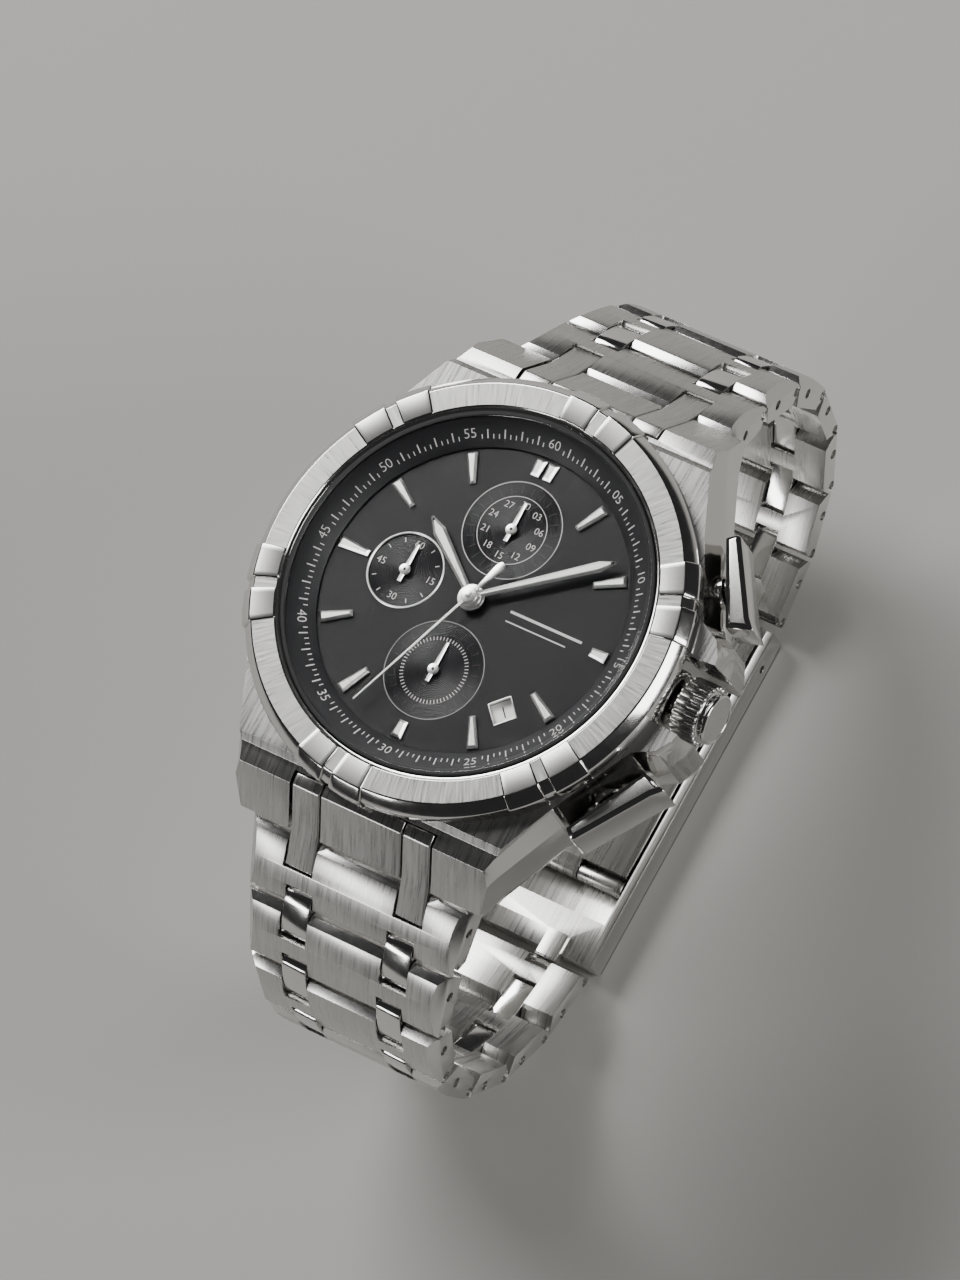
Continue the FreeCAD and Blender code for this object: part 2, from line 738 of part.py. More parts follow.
def row_starts():
    """Where the middle of each row's upper edge lies on the 12 o'clock side, and the last pivot."""
    start = Vector(0, number("root_boundary_y"), number("root_boundary_z"))
    starts = [start]
    setback = number("pivot_setback")
    for slope, following in zip(ROW_SLOPES, ROW_SLOPES[1:]):
        pivot = starts[-1] + along(slope) * (number("link_pitch") - setback)
        starts.append(pivot + along(following) * setback)
    last_pivot = starts[-1] + along(ROW_SLOPES[-1]) * (number("link_pitch") - setback)
    return starts, last_pivot


def on_row(row, side):
    """Placement of a link drawn with Y along the row from its upper edge and Z outward."""
    starts, _ = row_starts()
    lean = Placement(starts[row], Rotation(Vector(1, 0, 0), -ROW_SLOPES[row]))
    half_turn = Placement(Vector(), Rotation(Vector(0, 0, 1), 0 if side == 12 else 180))
    return half_turn * lean


def both_sides(outlines):
    """Outlines and their mirror images across the middle of the bracelet."""
    mirrored = [[(f"-({x})", y) for x, y in reversed(points)] for points in outlines]
    return outlines + mirrored


def bracelet_link(side, row):
    """One-piece link over the full width, notched twice at each edge, with relieved undersides."""
    body = new_body(f"link_{side}_{row + 1}")
    near, far = half_width(row), half_width(row + 1)
    pitch, half = "link_pitch", "link_thickness / 2"
    head = "link_gap / 2"
    tail = "link_pitch - link_gap / 2"
    pad(body, "YZ_Plane", f"{2 * near}", [[
        (head, "0"), (f"{head} + 0.95", f"-{half}"), (f"{tail} - 0.95", f"-{half}"), (tail, "0"),
        (tail, f"{half} - 0.5"), (f"{tail} - 0.5", half), (f"{head} + 0.7", half),
        (head, f"{half} - 0.7")]], midplane=True)
    clearance = number("side_clearance")
    top_in, top_out = notch(row, clearance)
    low_in, low_out = notch(row + 1, clearance)
    low_notch = f"{pitch} - pivot_setback - knuckle_radius - 0.2"
    notches = [
        [(f"{top_in}", "-1"), (f"{top_out}", "-1"), (f"{top_out}", "upper_notch"),
         (f"{top_in}", "upper_notch")],
        [(f"{low_in}", low_notch), (f"{low_out}", low_notch), (f"{low_out}", "link_pitch + 1"),
         (f"{low_in}", "link_pitch + 1")]]
    taper = [[(f"{near}", "0"), (f"{near + 2}", "0"), (f"{near + 2}", pitch), (f"{far}", pitch)]]
    cut(body, "XY_Plane", "20", both_sides(notches + taper))
    middle = (near + far) / 2
    bevel = [[(f"{middle + 0.6}", "0.4"), (f"{middle + 0.6}", "3"), (f"{middle - 1.0}", "3"),
              (f"{middle - 0.55}", half)]]
    cut(body, "XZ_Plane", "40", both_sides(bevel))
    cut(body, "YZ_Plane", "60", circles=[
        ("upper_pin", "0", "pin_radius"), (f"{pitch} - pivot_setback", "0", "pin_radius")])
    body.Placement = on_row(row, side)
    return body


def connector(side, row, sign):
    """Narrow polished link that reaches back over the boundary to the previous row's lower pin."""
    body = new_body("connector")
    inner, outer = notch(row, 0)
    middle, width = (inner + outer) / 2, outer - inner
    centre = f"{sign * middle}"
    back = "-pivot_setback"
    pad(body, "YZ_Plane", f"{width}", [[
        (back, "-1.1"), ("upper_notch - 0.2", "-1.1"), ("upper_notch - 0.2", "1.1"),
        ("upper_notch - 0.6", "1.35"), (back, "1.1")]], lift=centre, midplane=True)
    pad(body, "YZ_Plane", f"{width}", circles=[(back, "0", "knuckle_radius")],
        lift=centre, midplane=True)
    cut(body, "YZ_Plane", f"{width + 1}", circles=[
        (back, "0", "pin_radius + running_clearance"), ("upper_pin", "0", "pin_radius")], lift=centre)
    body.Placement = on_row(row, side)
    return body


def link_pin(side, row, place, length):
    pin = doc.addObject("Part::Cylinder", "link_pin")
    bind(pin, Radius="pin_radius", Height=f"{length}")
    pin.Placement = on_row(row, side) * Placement(
        Vector(-length / 2, place, 0), Rotation(Vector(0, 1, 0), 90))
    return pin


def connectors(side, row):
    """The two connector links of a row with the row's two pins. The first row hangs on the end link."""
    slim = half_width(row + 1) - 0.35
    pins = [link_pin(side, row, number("upper_pin"), 2 * slim + 0.3),
            link_pin(side, row, number("link_pitch - pivot_setback"), 2 * slim)]
    if row == 0:
        return group(f"pins_{side}_1", pins)
    pair = [connector(side, row, sign) for sign in (-1, 1)]
    return group(f"connectors_{side}_{row + 1}", pair + pins)


def end_link(side):
    """Link between the lugs: a wide centre and two prongs that reach into the first row."""
    body = new_body(f"end_link_{side}")
    starts, _ = row_starts()
    slope = along(ROW_SLOPES[0])
    outward = Vector(0, -slope.z, slope.y)
    pivot = starts[0] + slope * number("upper_pin")
    tip = pivot + slope * 0.85
    thick = 1.25
    knee = Vector(0, number("lug_end") - 0.35, number("lug_end_height") + 0.45)
    corners = [
        (number("case_wall_at_link") + 0.1, 7.55), (number("lug_crest"), number("lug_crest_height")),
        (knee.y, knee.z), ((tip + outward * thick).y, (tip + outward * thick).z),
        ((tip - outward * thick).y, (tip - outward * thick).z),
        ((starts[0] - outward * 1.1).y, (starts[0] - outward * 1.1).z),
        (number("case_wall_at_link") + 0.1, 1.0)]
    inner, outer = notch(0, 0)
    profile = [(f"{y}", f"{z}") for y, z in corners]
    pad(body, "YZ_Plane", f"{2 * outer}", [profile], midplane=True)
    stop = starts[0] - slope * 0.35
    beyond = [stop + outward * across + slope * length
              for across, length in ((6, 0), (-6, 0), (-6, 20), (6, 20))]
    cut(body, "YZ_Plane", f"{2 * inner}", [[(f"{corner.y}", f"{corner.z}") for corner in beyond]])
    cut(body, "YZ_Plane", "60", circles=[
        (f"{pivot.y}", f"{pivot.z}", "pin_radius + running_clearance"),
        ("spring_bar_y", "spring_bar_z", "spring_bar_radius")])
    body.Placement = Placement(Vector(), Rotation(Vector(0, 0, 1), 0 if side == 12 else 180))
    return body


def spring_bars():
    bars = []
    for side in (1, -1):
        bar = turned("spring_bar", [
            ("0", "-lug_gap - 1.3"), ("spring_bar_tip", "-lug_gap - 1.3"),
            ("spring_bar_tip", "-lug_gap + 0.4"),
            ("spring_bar_radius", "-lug_gap + 0.4"), ("spring_bar_radius", "lug_gap - 0.4"),
            ("spring_bar_tip", "lug_gap - 0.4"), ("spring_bar_tip", "lug_gap + 1.3"),
            ("0", "lug_gap + 1.3")])
        bar.Placement = Placement(
            Vector(0, side * number("spring_bar_y"), number("spring_bar_z")), out_along(0))
        bars.append(bar)
    return group("spring_bars", bars)


# ---------------------------------------------------------------- clasp


def clasp_prongs(body, pivot, root, radius):
    """Two lugs of the clasp that fill the last row's notches."""
    inner, outer = notch(len(ROW_SLOPES), 0)
    for sign in (-1, 1):
        lift = f"{sign * (inner + outer) / 2}"
        width = f"{outer - inner}"
        pad(body, "YZ_Plane", width, [[
            (f"{root}", f"{pivot.z + 0.75}"), (f"{root}", f"{pivot.z - 0.75}"),
            (f"{pivot.y}", f"{pivot.z - 0.75}"), (f"{pivot.y}", f"{pivot.z + 0.75}")]],
            lift=lift, midplane=True)
        pad(body, "YZ_Plane", width, circles=[(f"{pivot.y}", f"{pivot.z}", f"{radius}")],
            lift=lift, midplane=True)


def clasp_lower_blade():
    """Blade on the 12 o'clock side, with the fold's centre knuckle at its other end."""
    body = new_body("lower_blade")
    _, pivot = row_starts()
    pad(body, "YZ_Plane", "2 * blade_half", [rectangle(
        "lower_blade_bottom", "fold_hinge_y + 1.1", "lower_blade_top", "19.0")], midplane=True)
    pad(body, "YZ_Plane", "6", [[
        ("fold_hinge_y", "lower_blade_bottom"), ("fold_hinge_y + 2", "lower_blade_bottom"),
        ("fold_hinge_y + 2", "lower_blade_top"), ("fold_hinge_y", "lower_blade_top - 0.1")]], midplane=True)
    pad(body, "YZ_Plane", "6", circles=[("fold_hinge_y", "fold_hinge_z", "fold_knuckle")], midplane=True)
    clasp_prongs(body, pivot, 18.0, number("knuckle_radius"))
    cut(body, "YZ_Plane", "40", circles=[
        (f"{pivot.y}", f"{pivot.z}", "pin_radius + running_clearance"),
        ("fold_hinge_y", "fold_hinge_z", "clasp_pin_radius")])
    cut(body, "YZ_Plane", "6.4", circles=[
        ("cover_hinge_y", "cover_hinge_z", "cover_knuckle + 0.35")])
    return with_pin("clasp_lower_blade", body, "fold_hinge_y", "fold_hinge_z", "blade_half - 0.1")


def clasp_middle_blade():
    """Blade between the lower blade and the cover: outer knuckles at the fold, one at the cover."""
    body = new_body("clasp_middle_blade")
    low, high = "middle_blade_bottom", "middle_blade_top"
    pad(body, "YZ_Plane", "2 * blade_half", [rectangle(
        low, "fold_hinge_y", high, "cover_hinge_y - 1.1")], midplane=True)
    pad(body, "YZ_Plane", "2 * blade_half", circles=[
        ("fold_hinge_y", "fold_hinge_z", "fold_knuckle")], midplane=True)
    pad(body, "YZ_Plane", "6", [rectangle(low, "cover_hinge_y - 2", high, "cover_hinge_y")], midplane=True)
    pad(body, "YZ_Plane", "6", circles=[("cover_hinge_y", "cover_hinge_z", "cover_knuckle")], midplane=True)
    cut(body, "YZ_Plane", "6.3", [rectangle(
        "fold_hinge_z - 1.5", "fold_hinge_y - 1.5", "fold_hinge_z + 1.5", "fold_hinge_y + 1.3")])
    cut(body, "YZ_Plane", "40", circles=[
        ("fold_hinge_y", "fold_hinge_z", "clasp_pin_radius + running_clearance"),
        ("cover_hinge_y", "cover_hinge_z", "clasp_pin_radius + running_clearance")])
    return body


def clasp_cover():
    """Outer channel of the clasp, with ears at the cover hinge and an open seat at its 6 o'clock end."""
    body = new_body("cover_plate")
    _, pivot = row_starts()
    open_pivot = Vector(0, -pivot.y, pivot.z)
    ends = ("-cover_end", "cover_end")
    pad(body, "YZ_Plane", "2 * cover_half", [[
        (ends[0], "cover_plate_bottom + 0.5"), ("-cover_end + 0.5", "cover_plate_bottom"),
        ("cover_end - 0.5", "cover_plate_bottom"), (ends[1], "cover_plate_bottom + 0.5"),
        (ends[1], "lower_blade_top - 0.3"), (ends[0], "lower_blade_top - 0.3")]], midplane=True)
    cut(body, "YZ_Plane", "2 * (cover_half - cover_wall)", [rectangle(
        "cover_plate_top", "-14.5", "lower_blade_top + 1", "cover_end + 1")])
    pad(body, "YZ_Plane", "14.4", [rectangle(
        "cover_plate_top - 0.3", "cover_hinge_y - 0.5", "cover_hinge_z", "cover_hinge_y + 0.5")],
        midplane=True)
    pad(body, "YZ_Plane", "14.4", circles=[("cover_hinge_y", "cover_hinge_z", "cover_knuckle")],
        midplane=True)
    cut(body, "YZ_Plane", "6.3", [rectangle(
        "cover_plate_top - 0.2", "cover_hinge_y - 2.2", "lower_blade_top", "cover_hinge_y + 1.2")])
    clasp_prongs(body, open_pivot, -17.0, 1.0)
    cut(body, "YZ_Plane", "12.5", [rectangle(
        f"{pivot.z - 2}", f"{open_pivot.y - 2}", f"{pivot.z + 2}", f"{open_pivot.y + 0.45}")])
    cut(body, "YZ_Plane", "12.5", circles=[(f"{open_pivot.y}", f"{open_pivot.z}", "pin_radius + 0.15")])
    cut(body, "YZ_Plane", "40", circles=[("cover_hinge_y", "cover_hinge_z", "clasp_pin_radius")])
    return with_pin("clasp_cover", body, "cover_hinge_y", "cover_hinge_z", "blade_half - 0.1")


def with_pin(label, body, y, z, half):
    """The piece together with the hinge pin that is riveted into it."""
    pin = doc.addObject("Part::Cylinder", "clasp_pin")
    bind(pin, Radius="clasp_pin_radius", Height=f"2 * ({half})")
    pin.Placement = Placement(Vector(-number(half), number(y), number(z)), Rotation(Vector(0, 1, 0), 90))
    return group(label, [body, pin])


# ---------------------------------------------------------------- the whole watch


def build():
    head = [bezel(), crystal(), sealing_gaskets(), flange_ring(), dial(), hour_markers(), date_disc()]
    inside = [movement_holder(), movement(), battery(), case_back(), case_middle(), setting_lever()]
    controls = [crown(), winding_stem(), case_tubes(), pusher("pusher_2", 1), pusher("pusher_4", -1),
                pusher_spring("pusher_spring_2", 1), pusher_spring("pusher_spring_4", -1)]
    hands = [hour_hand(), minute_hand(), chrono_seconds_hand()] + small_hands()
    bracelet = [spring_bars()]
    for side in (12, 6):
        bracelet.append(end_link(side))
        for row in range(len(ROW_SLOPES)):
            bracelet += [bracelet_link(side, row), connectors(side, row)]
    clasp = [clasp_lower_blade(), clasp_middle_blade(), clasp_cover()]
    return head + inside + controls + hands + bracelet + clasp


def check(parts):
    for thing in doc.Objects:
        if "Invalid" in thing.State or "Error" in thing.State:
            raise RuntimeError(f"{thing.Label} is {thing.State}")
    for part in parts:
        if part.Shape.isNull() or not part.Shape.isValid() or not part.Shape.Solids:
            raise RuntimeError(f"{part.Label} has no valid solid")


parts = build()
doc.recompute()
check(parts)
os.makedirs("parts", exist_ok=True)
for part in parts:
    part.Shape.exportStep(f"parts/{part.Label}.step")
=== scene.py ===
import json
import math

import bpy
from mathutils import Matrix, Vector

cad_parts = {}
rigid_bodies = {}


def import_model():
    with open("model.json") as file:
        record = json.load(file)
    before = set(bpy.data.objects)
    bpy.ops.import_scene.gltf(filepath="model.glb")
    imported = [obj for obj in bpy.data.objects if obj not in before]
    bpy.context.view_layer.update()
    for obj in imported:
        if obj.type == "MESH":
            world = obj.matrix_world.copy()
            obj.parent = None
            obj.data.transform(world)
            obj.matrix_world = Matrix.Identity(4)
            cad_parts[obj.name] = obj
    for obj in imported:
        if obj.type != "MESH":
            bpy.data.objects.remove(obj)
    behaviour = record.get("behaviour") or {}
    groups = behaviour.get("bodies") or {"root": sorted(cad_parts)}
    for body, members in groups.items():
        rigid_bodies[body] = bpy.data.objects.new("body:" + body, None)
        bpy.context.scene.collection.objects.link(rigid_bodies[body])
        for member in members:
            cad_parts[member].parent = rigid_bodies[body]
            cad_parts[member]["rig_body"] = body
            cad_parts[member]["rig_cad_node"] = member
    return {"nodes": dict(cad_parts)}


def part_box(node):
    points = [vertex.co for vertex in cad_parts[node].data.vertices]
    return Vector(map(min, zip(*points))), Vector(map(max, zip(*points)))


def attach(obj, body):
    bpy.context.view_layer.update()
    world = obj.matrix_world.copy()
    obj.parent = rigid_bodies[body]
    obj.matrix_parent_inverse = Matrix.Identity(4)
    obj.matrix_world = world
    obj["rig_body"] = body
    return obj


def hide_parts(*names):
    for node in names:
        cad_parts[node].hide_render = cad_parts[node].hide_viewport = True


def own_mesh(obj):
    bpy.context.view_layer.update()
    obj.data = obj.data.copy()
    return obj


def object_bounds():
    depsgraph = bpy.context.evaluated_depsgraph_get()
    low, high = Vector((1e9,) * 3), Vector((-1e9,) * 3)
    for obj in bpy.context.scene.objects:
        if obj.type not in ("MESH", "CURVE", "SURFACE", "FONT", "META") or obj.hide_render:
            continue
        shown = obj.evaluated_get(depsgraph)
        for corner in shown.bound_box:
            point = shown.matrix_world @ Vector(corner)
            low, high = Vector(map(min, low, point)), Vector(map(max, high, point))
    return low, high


# The looks of a steel chronograph wristwatch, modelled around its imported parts. Sizes are in millimetres
# and turned to metres where a point is placed; angles are in degrees, clock angles run clockwise from 12.

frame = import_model()
cad_low, cad_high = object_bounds()

MM = 0.001
WELD = 2e-7
FULL_TURN = 360.0


# ---------------------------------------------------------------- places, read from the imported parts


def top_of(node):
    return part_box(node)[1].z / MM


BEZEL_FLAT = 11.0
DIAL_TOP = top_of("dial")
COUNTER_OFFSET = 7.6
RECESS = 0.12


# ---------------------------------------------------------------- modelling


def deselect_all():
    bpy.ops.object.select_all(action="DESELECT")


def take(piece):
    """Makes a piece the only selected and the active one."""
    deselect_all()
    piece.select_set(True)
    bpy.context.view_layer.objects.active = piece
    return piece


def edit(piece, mode="VERT"):
    take(piece)
    bpy.ops.object.mode_set(mode="EDIT")
    bpy.ops.mesh.select_mode(type=mode)
    bpy.ops.mesh.select_all(action="SELECT")


def stop_editing():
    bpy.ops.object.mode_set(mode="OBJECT")
    return bpy.context.view_layer.objects.active


def named(piece, name):
    piece.name = name
    piece.data.name = name
    return piece


def set_down(piece):
    """Moves a piece's place into its mesh, which leaves its object at the origin."""
    take(piece)
    bpy.ops.object.transform_apply(location=True, rotation=True, scale=True)
    return piece


def line(name, points):
    """An open line of edges, drawn from one vertex by extruding it from point to point."""
    deselect_all()
    first = Vector(points[0]) * MM
    bpy.ops.mesh.primitive_plane_add(size=MM, location=first)
    piece = named(bpy.context.active_object, name)
    edit(piece)
    bpy.ops.mesh.merge(type="CENTER")
    for before, after in zip(points, points[1:]):
        step = (Vector(after) - Vector(before)) * MM
        bpy.ops.mesh.extrude_vertices_move(TRANSFORM_OT_translate={"value": step})
    stop_editing()
    return set_down(piece)


def facing_out(piece):
    """Welds doubles, then turns every face outward."""
    edit(piece)
    bpy.ops.mesh.remove_doubles(threshold=WELD)
    bpy.ops.mesh.normals_make_consistent(inside=False)
    return stop_editing()


def face(name, points):
    piece = line(name, points)
    edit(piece)
    bpy.ops.mesh.edge_face_add()
    return stop_editing()


def prism(name, points, depth):
    """A closed solid: the outline through points, extruded by the vector depth."""
    piece = face(name, points)
    edit(piece, "FACE")
    bpy.ops.mesh.extrude_region_move(TRANSFORM_OT_translate={"value": Vector(depth) * MM})
    stop_editing()
    return facing_out(piece)


def plate(name, outline, low, high):
    """A flat plate with an (x, y) outline between two heights."""
    return prism(name, [(x, y, low) for x, y in outline], (0, 0, high - low))


def lathe(name, outline, steps=192):
    """Turns a (radius, height) outline about Z. An outline that ends off the axis is closed first."""
    on_axis = outline[0][0] == 0 and outline[-1][0] == 0
    points = outline if on_axis else outline + outline[:1]
    piece = line(name, [(radius, 0, height) for radius, height in points])
    edit(piece)
    bpy.ops.mesh.spin(steps=steps, angle=math.tau, center=(0, 0, 0), axis=(0, 0, 1))
    stop_editing()
    return facing_out(piece)


def sector(name, outline, width, steps=6):
    """A piece of a ring: a (radius, height) outline swept through width degrees, centred on +X."""
    piece = face(name, [(radius, 0, height) for radius, height in outline])
    edit(piece, "FACE")
    bpy.ops.mesh.spin(steps=steps, angle=math.radians(width), center=(0, 0, 0), axis=(0, 0, 1))
    stop_editing()
    facing_out(piece)
    return moved(piece, Matrix.Rotation(math.radians(-width / 2), 4, "Z"))


def block(name, low, high):
    """A box between two corners, with even faces for bevels."""
    deselect_all()
    low, high = Vector(low) * MM, Vector(high) * MM
    bpy.ops.mesh.primitive_cube_add(size=1, location=(low + high) / 2, scale=high - low)
    return set_down(named(bpy.context.active_object, name))


def moved(piece, matrix):
    piece.data.transform(matrix)
    if matrix.determinant() < 0:
        facing_out(piece)
    return piece


def copied(piece, matrix, name=None):
    twin = piece.copy()
    twin.data = piece.data.copy()
    bpy.context.scene.collection.objects.link(twin)
    return moved(named(twin, name or piece.name), matrix)


def joined(name, pieces):
    take(pieces[0])
    for piece in pieces[1:]:
        piece.select_set(True)
    bpy.ops.object.join()
    return named(bpy.context.active_object, name)


def finish_with(piece, kind, **settings):
    """Adds a modifier and applies it."""
    take(piece)
    modifier = piece.modifiers.new(kind.lower(), kind)
    for setting, value in settings.items():
        setattr(modifier, setting, value)
    bpy.ops.object.modifier_apply(modifier=modifier.name)
    return piece


def cut(piece, *cutters):
    for cutter in cutters:
        finish_with(piece, "BOOLEAN", operation="DIFFERENCE", object=cutter, solver="EXACT")
        bpy.data.objects.remove(cutter)
    return piece


def rounded(piece, width, segments=3, sharper_than=28.0):
    """Breaks the sharp edges with a small round, then smooths what is nearly flat."""
    finish_with(piece, "BEVEL", width=width * MM, segments=segments, limit_method="ANGLE",
                angle_limit=math.radians(sharper_than), miter_outer="MITER_ARC", harden_normals=False)
    return smooth(piece, 40.0)


def smooth(piece, angle=30.0):
    take(piece)
    bpy.ops.object.shade_smooth_by_angle(angle=math.radians(angle))
    return piece


def turned_by(angle, about=(0, 0)):
    """Clockwise turn about a vertical line, as a clock angle is read."""
    place = Matrix.Translation((about[0] * MM, about[1] * MM, 0))
    return place @ Matrix.Rotation(math.radians(-angle), 4, "Z") @ place.inverted()


def shifted(x, y, z):
    return Matrix.Translation(Vector((x, y, z)) * MM)


def around(piece, count, name, start=0.0, about=(0, 0)):
    """One piece made of count copies, evenly spaced about a vertical line."""
    ring = [copied(piece, turned_by(start + i * FULL_TURN / count, about)) for i in range(count)]
    bpy.data.objects.remove(piece)
    return joined(name, ring)


def select_faces(piece, wanted):
    """Selects the faces whose (centre in mm, normal) pass the test, and leaves the piece in edit mode."""
    edit(piece, "FACE")
    bpy.ops.mesh.select_all(action="DESELECT")
    bpy.ops.object.mode_set(mode="OBJECT")
    for polygon in piece.data.polygons:
        polygon.select = wanted(polygon.center / MM, polygon.normal)
    bpy.ops.object.mode_set(mode="EDIT")


def painted(piece, *materials, paint=lambda centre, normal: 0):
    """Gives a piece its materials. paint picks one for a face, from its centre in mm and its normal."""
    piece.data.materials.clear()
    for material in materials:
        piece.data.materials.append(material)
    for polygon in piece.data.polygons:
        polygon.material_index = paint(polygon.center / MM, polygon.normal)
    return piece


def finished(piece, body, slot, *materials, replaces=(), **paint):
    """Gives a piece the CAD body that it rides on, and its materials unless it has them already."""
    if materials:
        painted(piece, *materials, **paint)
    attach(piece, body)
    if replaces:
        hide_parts(*replaces)
    return piece


def own_copy(node, name):
    """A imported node's own shape as a new piece."""
    deselect_all()
    piece = copied(frame["nodes"][node], Matrix.Identity(4), name)
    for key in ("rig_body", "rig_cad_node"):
        if key in piece:
            del piece[key]
    piece.parent = None
    piece.hide_render = False
    return facing_out(piece)


def refined_copy(node, name, width=0.12, segments=2, sharper_than=30.0):
    """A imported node's own shape with its edges broken."""
    piece = own_copy(node, name)
    edit(piece)
    bpy.ops.mesh.dissolve_limited(angle_limit=math.radians(0.6))
    stop_editing()
    return rounded(piece, width, segments, sharper_than)


# ---------------------------------------------------------------- materials


def linear(hex_colour):
    """An sRGB hex colour as linear red, green, blue and alpha."""
    shares = [int(hex_colour[i:i + 2], 16) / 255 for i in (1, 3, 5)]
    return [x / 12.92 if x <= 0.04045 else ((x + 0.055) / 1.055) ** 2.4 for x in shares] + [1.0]


def add(tree, kind, inputs=None, **settings):
    """Adds a node with its settings. An input is a plain value or another node's output."""
    made = tree.nodes.new("ShaderNode" + kind)
    for name, value in settings.items():
        setattr(made, name, value)
    for name, value in (inputs or {}).items():
        if isinstance(value, bpy.types.NodeSocket):
            tree.links.new(value, made.inputs[name])
        else:
            made.inputs[name].default_value = value
    return made


def new_material(name, colour, **inputs):
    """A material with one Principled shader. Returns the material, its node tree and the shader."""
    material = bpy.data.materials.new(name)
    material.use_nodes = True
    tree = material.node_tree
    shader = tree.nodes["Principled BSDF"]
    shader.inputs["Base Color"].default_value = linear(colour)
    for socket, value in inputs.items():
        shader.inputs[socket.replace("_", " ")].default_value = value
    return material, tree, shader


def spread(tree, value, low, high):
    """Maps a noise value, which lies mostly between 0.3 and 0.7, to a range."""
    return add(tree, "MapRange", {0: value, 1: 0.3, 2: 0.7, 3: low, 4: high}).outputs[0]


def brushed(name, colour, coordinate, grain, roughness, depth):
    """Steel with straight brushing. grain is (lines per mm across, lines per mm along) of a coordinate in
    mm; roughness is its low and high; depth is the height of the scratches in mm."""
    material, tree, shader = new_material(name, colour, Metallic=1.0)
    place = coordinate(tree)
    across, along = grain
    fine_place = add(tree, "Mapping", {0: place, 3: (across, along, across)}).outputs[0]
    fine = add(tree, "TexNoise", {0: fine_place, 2: 1.0, 3: 2.0, 4: 0.6}).outputs[0]
    broad_place = add(tree, "Mapping", {0: place, 3: (across / 6, along / 2, across / 6)}).outputs[0]
    broad = add(tree, "TexNoise", {0: broad_place, 2: 1.0, 3: 1.0, 4: 0.5}).outputs[0]
    both = add(tree, "Mix", {0: 0.12, 2: fine, 3: broad}).outputs[0]
    tree.links.new(spread(tree, both, *roughness), shader.inputs["Roughness"])
    dark = [0.78 * share for share in linear(colour)[:3]] + [1.0]
    tint = add(tree, "Mix", {0: spread(tree, both, 0, 1), 6: dark, 7: linear(colour)}, data_type="RGBA")
    tree.links.new(tint.outputs[2], shader.inputs["Base Color"])
    bump = add(tree, "Bump", {"Strength": 1.0, "Distance": depth * MM, "Height": both})
    tree.links.new(bump.outputs[0], shader.inputs["Normal"])
    return material


def own_millimetres(tree):
    """The row's own coordinates, in mm."""
    metres = add(tree, "TexCoord").outputs["Object"]
    return add(tree, "VectorMath", {0: metres, 3: 1 / MM}, operation="SCALE").outputs[0]


def map_millimetres(tree):
    """The piece's own map, which holds mm across and along it."""
    return add(tree, "UVMap", uv_map="brushing").outputs[0]


def around_the_dial(tree):
    """Distance round the watch and distance from its middle, in mm, so that lines run outward."""
    split = add(tree, "SeparateXYZ", {0: own_millimetres(tree)}).outputs
    turn = add(tree, "Math", {0: split[1], 1: split[0]}, operation="ARCTAN2").outputs[0]
    distance = add(tree, "Math", {0: turn, 1: BEZEL_RADIUS}, operation="MULTIPLY").outputs[0]
    flat = add(tree, "CombineXYZ", {0: split[0], 1: split[1]}).outputs[0]
    radius = add(tree, "VectorMath", {0: flat}, operation="LENGTH").outputs[1]
    return add(tree, "CombineXYZ", {0: distance, 1: radius}).outputs[0]


BEZEL_RADIUS = 20.0
STEEL = "#cfcecb"


# 316L stainless brushed on a belt: long straight scratches about 0.1 mm apart, which spread a highlight
# across the grain. Drawn a little coarser than real ones so that they show at arm's length.
LINK_STEEL = brushed("brushed_steel_links", STEEL, map_millimetres, (4.0, 0.12), (0.24, 0.34), 0.004)

# The same brushing on the case, where it runs from lug to lug.
CASE_STEEL = brushed("brushed_steel_case", STEEL, own_millimetres, (4.0, 0.12), (0.26, 0.36), 0.004)

# The bezel's flat is brushed from the middle outward on an indexing head, so its lines stand like rays.
BEZEL_STEEL = brushed("brushed_steel_bezel", "#d4d3d0", around_the_dial, (3.6, 0.25), (0.26, 0.38), 0.006)


def grained(name, colour, per_mm, roughness, depth, **inputs):
    """A surface with an even fine grain in every direction."""
    material, tree, shader = new_material(name, colour, **inputs)
    noise = add(tree, "TexNoise", {0: own_millimetres(tree), 2: per_mm, 3: 3.0, 4: 0.6}).outputs[0]
    tree.links.new(spread(tree, noise, *roughness), shader.inputs["Roughness"])
    if depth:
        bump = add(tree, "Bump", {"Strength": 1.0, "Distance": depth * MM, "Height": noise})
        tree.links.new(bump.outputs[0], shader.inputs["Normal"])
    return material


# Mirror-polished 316L: clean sharp reflections with the faint unevenness that a buffing wheel leaves.
POLISHED = grained("polished_steel", "#dddcda", 0.7, (0.1, 0.15), 0, Metallic=1.0)

# The links' bevels, polished on felt: softer reflections than the case, so a bevel reads as one pale strip.
BEVEL_STEEL = grained("felt_polished_steel", "#dddcda", 1.5, (0.2, 0.26), 0, Metallic=1.0)

# Bead-blasted 316L on claws and push-piece tops: an even soft sheen with no direction.
SATIN = grained("satin_steel", "#d2d1ce", 14.0, (0.26, 0.33), 0.0012, Metallic=1.0)

# Diamond-cut, rhodium-plated brass of the hands and markers: flat facets that flash white or go dark.
RHODIUM = grained("rhodium_plated_brass", "#e8e7e4", 3.0, (0.27, 0.35), 0, Metallic=1.0)

# Galvanised black dial under a satin lacquer: near black with a soft broad sheen.
DIAL_BLACK = grained("galvanised_black_dial", "#0b0b0c", 20.0, (0.33, 0.38), 0.0002, IOR=1.33)

# Azurage, the fine concentric grooves of the counters, is turned metal under the same black lacquer.
COUNTER_BLACK = grained("azurage_black_lacquer", "#0c0c0e", 12.0, (0.3, 0.36), 0.0002, IOR=1.33)

